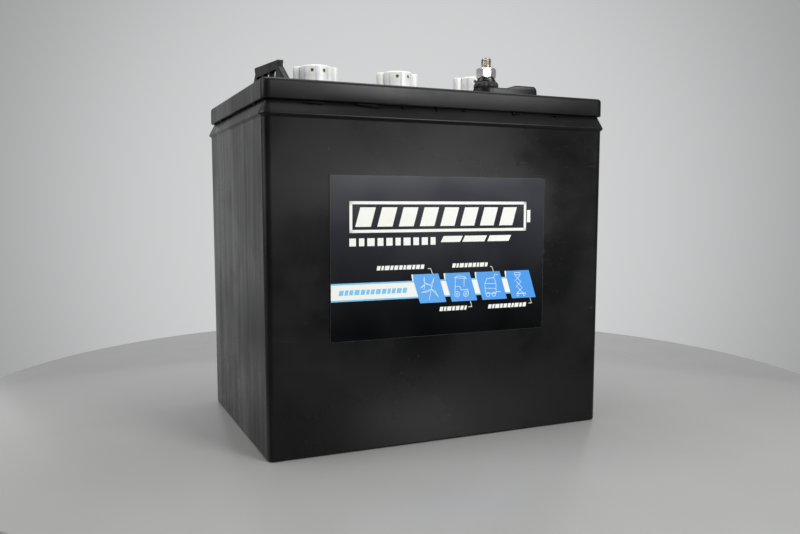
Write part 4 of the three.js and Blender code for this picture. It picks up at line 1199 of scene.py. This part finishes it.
def charge_symbol():
    """A wide battery outline filled with slanted charge bars: a plain sign, in place of any name."""
    line = 2.0
    left, right, bottom, top = -73.3, 62.4, 147.4, 168.2
    sides = (
        (left, right, top - line, top), (left, right, bottom, bottom + line),
        (left, left + line, bottom, top), (right - line, right, bottom, top),
        (right + 0.7, right + 3.5, bottom + 6.0, top - 6.0),
    )
    pieces = [printed("frame", slanted(*side, 0), INK_WHITE) for side in sides]
    count = 8
    room = (right - left - 2 * line - 7.0) / count
    for i in range(count):
        start = left + line + 2.0 + i * room
        bar = slanted(start, start + room - 4.6, bottom + line + 2.0, top - line - 2.0, 3.6)
        pieces.append(printed("bar", bar, INK_WHITE))
    return pieces


def dashes(x0, x1, z0, z1, widths, gap, slant, material, lift=0.42):
    """A row of plain dashes that fills a line, in place of small print."""
    pieces = []
    x = x0
    i = 0
    while x + widths[i % len(widths)] <= x1:
        width = widths[i % len(widths)]
        pieces.append(printed("dash", slanted(x, x + width, z0, z1, slant), material, lift))
        x += width + gap
        i += 1
    return pieces



def tile_edge(number, z, side):
    """X of a tile's left (0) or right (1) edge at a height."""
    foot = TILE_START + TILE_PITCH * number + TILE_WIDTH * side
    return foot + TILE_LEAN * (z - TILE_BOTTOM) / (TILE_TOP - TILE_BOTTOM)


def stripe_pieces():
    """The white band with pale blue borders, which runs behind the tiles."""
    left = LABEL_LEFT + 0.5
    low = STRIPE_BOTTOM + STRIPE_BORDER
    high = STRIPE_TOP - STRIPE_BORDER
    last = TILE_COUNT - 1
    pieces = []
    for z0, z1, ink, lift in (
        (STRIPE_BOTTOM, STRIPE_TOP, INK_PALE, 0.41), (low, high, INK_WHITE, 0.435),
    ):
        band = [
            (left, z0), (tile_edge(last, z0, 0.5), z0), (tile_edge(last, z1, 0.5), z1), (left, z1),
        ]
        pieces.append(printed("band", band, ink, lift, 0.02))
    pieces += dashes(-81.0, -29.5, 106.3, 109.7, (3.0, 2.2, 2.6, 3.4), 1.0, 0.7, INK_PALE, 0.46)
    return pieces


def sign_line(x, z, points, width=0.4):
    """A thin line of a tile's sign, from points measured from a place on the label."""
    return stroke([(x + along, z + up) for along, up in points], width, INK_SIGN)


def sign_wheel(x, z, radius, steps, width=0.4):
    return stroke(arc(x, z, radius, 0, 360, steps), width, INK_SIGN)


def turbine_sign(x, z):
    pieces = []
    for px, pz, size, start in ((x - 3.2, z + 3.4, 4.6, 100), (x + 1.6, z - 0.6, 8.0, 75)):
        pieces += sign_line(px, pz, [(0, 0), (-0.2 * size, -0.9 * size)])
        for angle in (start, start + 120, start + 240):
            along = math.radians(angle)
            beside = math.radians(angle + 20)
            tip = (size * math.cos(along), size * math.sin(along))
            side = (0.4 * size * math.cos(beside), 0.4 * size * math.sin(beside))
            pieces += sign_line(px, pz, [(0, 0), side, tip, (0, 0)], 0.35)
    return pieces


def cart_sign(x, z):
    roof = [(-5.2, 6.6), (-2.6, 7.8), (3.0, 7.2), (4.4, 5.8), (-5.2, 6.6)]
    body = [(-4.6, -3.4), (-4.4, 0.6), (-0.6, 0.2), (0.4, -2.2), (5.6, -1.8), (6.2, -4.4)]
    pieces = sign_line(x, z, roof) + sign_line(x, z, body)
    for post in (-4.4, 2.6):
        pieces += sign_line(x, z, [(post, 0.4), (post, 6.6)])
    for wheel in (-2.8, 4.2):
        pieces += sign_wheel(x + wheel, z - 5.0, 2.0, 12)
        pieces += sign_wheel(x + wheel, z - 5.0, 0.8, 8, 0.35)
    return pieces


def scrubber_sign(x, z):
    tank = [
        (-4.6, -5.4), (-5.2, 1.4), (-3.6, 5.0), (2.2, 5.6), (4.0, 1.2), (4.2, -5.8), (-4.6, -5.4),
    ]
    pieces = sign_line(x, z, tank)
    pieces += sign_line(x, z, [(2.2, 5.6), (2.6, 8.2), (5.4, 7.4)])
    for height in (1.6, -1.8):
        pieces += sign_line(x, z, [(-5.0, height), (4.0, height - 0.4)], 0.35)
    for wheel in (-2.4, 2.4):
        pieces += sign_wheel(x + wheel, z - 6.4, 1.5, 10)
    pieces += sign_line(x, z, [(4.2, -4.6), (8.0, -4.8)])
    return pieces


def lift_sign(x, z):
    left = x - 3.6
    pieces = []
    for height in (7.0, 8.6):
        pieces += sign_line(left, z, [(-1.6, height), (3.2, height - 0.2)])
    for side, height in ((-1.6, 7.0), (3.2, 6.8)):
        pieces += sign_line(left, z, [(side, height), (side, height + 1.6)])
    for level in range(3):
        base = z - 6.2 + 4.3 * level
        shift = left + 1.2 * (2 - level)
        pieces += sign_line(shift, base, [(-1.2, 0), (3.0, 4.0)], 0.38)
        pieces += sign_line(shift, base, [(3.2, 0), (-1.0, 4.0)], 0.38)
    pieces += sign_line(left, z, [(0.6, -6.6), (8.2, -6.8)], 0.6)
    for wheel in (1.6, 7.0):
        pieces += sign_wheel(left + wheel, z - 7.8, 0.9, 8, 0.35)
    return pieces



def tile_pieces():
    """Four blue tiles with plain line signs, and a dash row with a leader line for each."""
    pieces = []
    signs = (turbine_sign, cart_sign, scrubber_sign, lift_sign)
    for number, sign in enumerate(signs):
        x0 = TILE_START + TILE_PITCH * number
        tile = slanted(x0, x0 + TILE_WIDTH, TILE_BOTTOM, TILE_TOP, TILE_LEAN)
        pieces.append(printed("tile", tile, INK_BLUE, 0.46, 0.02))
        above = tile_edge(number, TILE_TOP, 0)
        below = tile_edge(number, STRIPE_TOP, 0)
        fold = [
            (above - 0.2, TILE_TOP), (above + 0.9, TILE_TOP),
            (below, STRIPE_TOP - 0.6), (below - 0.9, STRIPE_TOP),
        ]
        pieces.append(printed("fold", fold, INK_WHITE, 0.49, 0.02))
        sign_x = x0 + TILE_WIDTH / 2 + TILE_LEAN / 2
        pieces += sign(sign_x, (TILE_BOTTOM + TILE_TOP) / 2)
    for start, end, base, bend, touch in CAPTIONS:
        pieces += dashes(start, end, base, base + 2.9, (2.5, 1.7, 3.3, 2.1, 2.8), 0.75, 0.6, INK_WHITE)
        pieces += stroke([(end + 0.8, bend[1] + 0.1), bend, touch], 0.38, INK_WHITE, 0.43)
    return pieces



def make_label():
    base = label_base()
    ready(base, "root", "label_film", "front_label")
    shapes = charge_symbol()
    shapes += dashes(-73.4, -9.4, 138.6, 143.8, (4.6, 3.8, 5.2, 4.2), 2.1, 0.0, INK_WHITE)
    for left, right in SLANTED_BARS:
        shapes.append(printed("slanted", slanted(left, right, 140.2, 144.4, 2.1), INK_WHITE))
    shapes += stripe_pieces()
    shapes += tile_pieces()
    by_ink = {}
    for shape in shapes:
        by_ink.setdefault(shape.data.materials[0].name, []).append(shape)
    for ink, members in by_ink.items():
        ready(joined(f"label_{ink}", members), "root", "label_film")


# ------------------------------------------------------------------ carried-over pieces


def dress_frame_nodes():
    """Gives every CAD node the procedural material of its slot."""
    for entry in frame["record"]["subparts"]:
        node = frame["nodes"][entry["node"]]
        node.data.materials.clear()
        node.data.materials.append(SLOT_MATERIALS[entry["material_slot"]])
        shade(node, 30.0)


# ------------------------------------------------------------------ stage and light


def floor_material():
    m = Maker("table_top")
    cloud = m.ramp(m.noise(3.0, 4.0), 0.3, 0.7)
    tone = m.mix(cloud, (0.252, 0.252, 0.248), (0.280, 0.280, 0.276))
    rough = m.ramp(m.noise(6.0, 3.0), 0.2, 0.8, 0.20, 0.26)
    normal = m.bump(m.noise(30.0), 0.02, 0.0005)
    return m.set(Base_Color=tone, Roughness=rough, Normal=normal, Specular_IOR_Level=0.35)


def make_stage():
    """A pale round table top."""
    radius = 394.0
    centre = (46.0, 88.0)
    profile = [
        (0, -25.0), (radius - 3, -25.0), (radius, -22.0),
        (radius, -3.0), (radius - 1, -0.9), (radius - 3, 0.0), (0, 0.0),
    ]
    top = lathe("table_top", profile, floor_material(), centre, 160, 40.0)



def make_world():
    """Soft surroundings: a lit patch of backdrop behind, a pale ceiling, dimmer in front."""
    world = bpy.data.worlds.new("studio")
    world.use_nodes = True
    bpy.context.scene.world = world
    tree = world.node_tree
    tree.nodes.clear()
    output = tree.nodes.new("ShaderNodeOutputWorld")
    background = tree.nodes.new("ShaderNodeBackground")
    tree.links.new(background.outputs["Background"], output.inputs["Surface"])
    background.inputs["Color"].default_value = (0.985, 0.99, 1.0, 1.0)
    direction = tree.nodes.new("ShaderNodeTexCoord").outputs["Generated"]

    def toward(axis, low, high, start, end):
        """Brightness that rises from start to end as the direction turns towards the axis."""
        facing = tree.nodes.new("ShaderNodeVectorMath")
        facing.operation = "DOT_PRODUCT"
        facing.inputs[1].default_value = axis
        tree.links.new(direction, facing.inputs[0])
        ramp = tree.nodes.new("ShaderNodeMapRange")
        ramp.interpolation_type = "SMOOTHSTEP"
        for key, value in (("From Min", low), ("From Max", high), ("To Min", start), ("To Max", end)):
            ramp.inputs[key].default_value = value
        tree.links.new(facing.outputs["Value"], ramp.inputs["Value"])
        return ramp.outputs["Result"]

    rear = toward((0.0, 1.0, 0.0), -0.5, 0.5, 0.11, 0.345)
    glow = toward(BACKDROP_DIRECTION, 0.84, 1.0, 0.0, 0.32)
    ceiling = toward((0.0, 0.0, 1.0), 0.35, 0.8, 0.0, 0.25)
    total = rear
    for term in (glow, ceiling):
        added = tree.nodes.new("ShaderNodeMath")
        added.operation = "ADD"
        tree.links.new(total, added.inputs[0])
        tree.links.new(term, added.inputs[1])
        total = added.outputs["Value"]
    tree.links.new(total, background.inputs["Strength"])


def area_light(name, place, target, size, power, colour=(1, 1, 1)):
    data = bpy.data.lights.new(name, "AREA")
    data.shape = "RECTANGLE"
    data.size = size[0]
    data.size_y = size[1]
    data.energy = power
    data.color = colour
    lamp = bpy.data.objects.new(name, data)
    lamp.location = place
    direction = Vector(target) - Vector(place)
    lamp.rotation_euler = direction.to_track_quat("-Z", "Y").to_euler()
    bpy.context.scene.collection.objects.link(lamp)


def make_lights():
    area_light("left_softbox", (-1.5, 0.1, 0.75), (0, 0, 0.12), (1.0, 1.2), 14.0)
    area_light("top_softbox", (0.1, 0.1, 1.5), (0, 0, 0.1), (1.4, 1.2), 17.0)
    area_light("front_softbox", (0.66, -1.50, 0.71), (0, 0, 0.15), (0.6, 0.85), 27.5)
    area_light("left_rear_panel", (-0.75, 1.6, 0.35), (-0.13, 0, 0.15), (0.6, 0.9), 0.5)
    area_light("nut_panel", (-0.37, -1.5, 0.53), (0.05, -0.05, 0.26), (0.36, 0.36), 1.0)


# ------------------------------------------------------------------ build

bpy.context.scene.view_settings.view_transform = "Standard"
make_camera()
make_stage()
make_world()
make_lights()
dress_frame_nodes()
make_case()
make_flash()
make_lid()
make_caps()
make_terminals()
make_handles()
make_label()

bpy.context.view_layer.update()
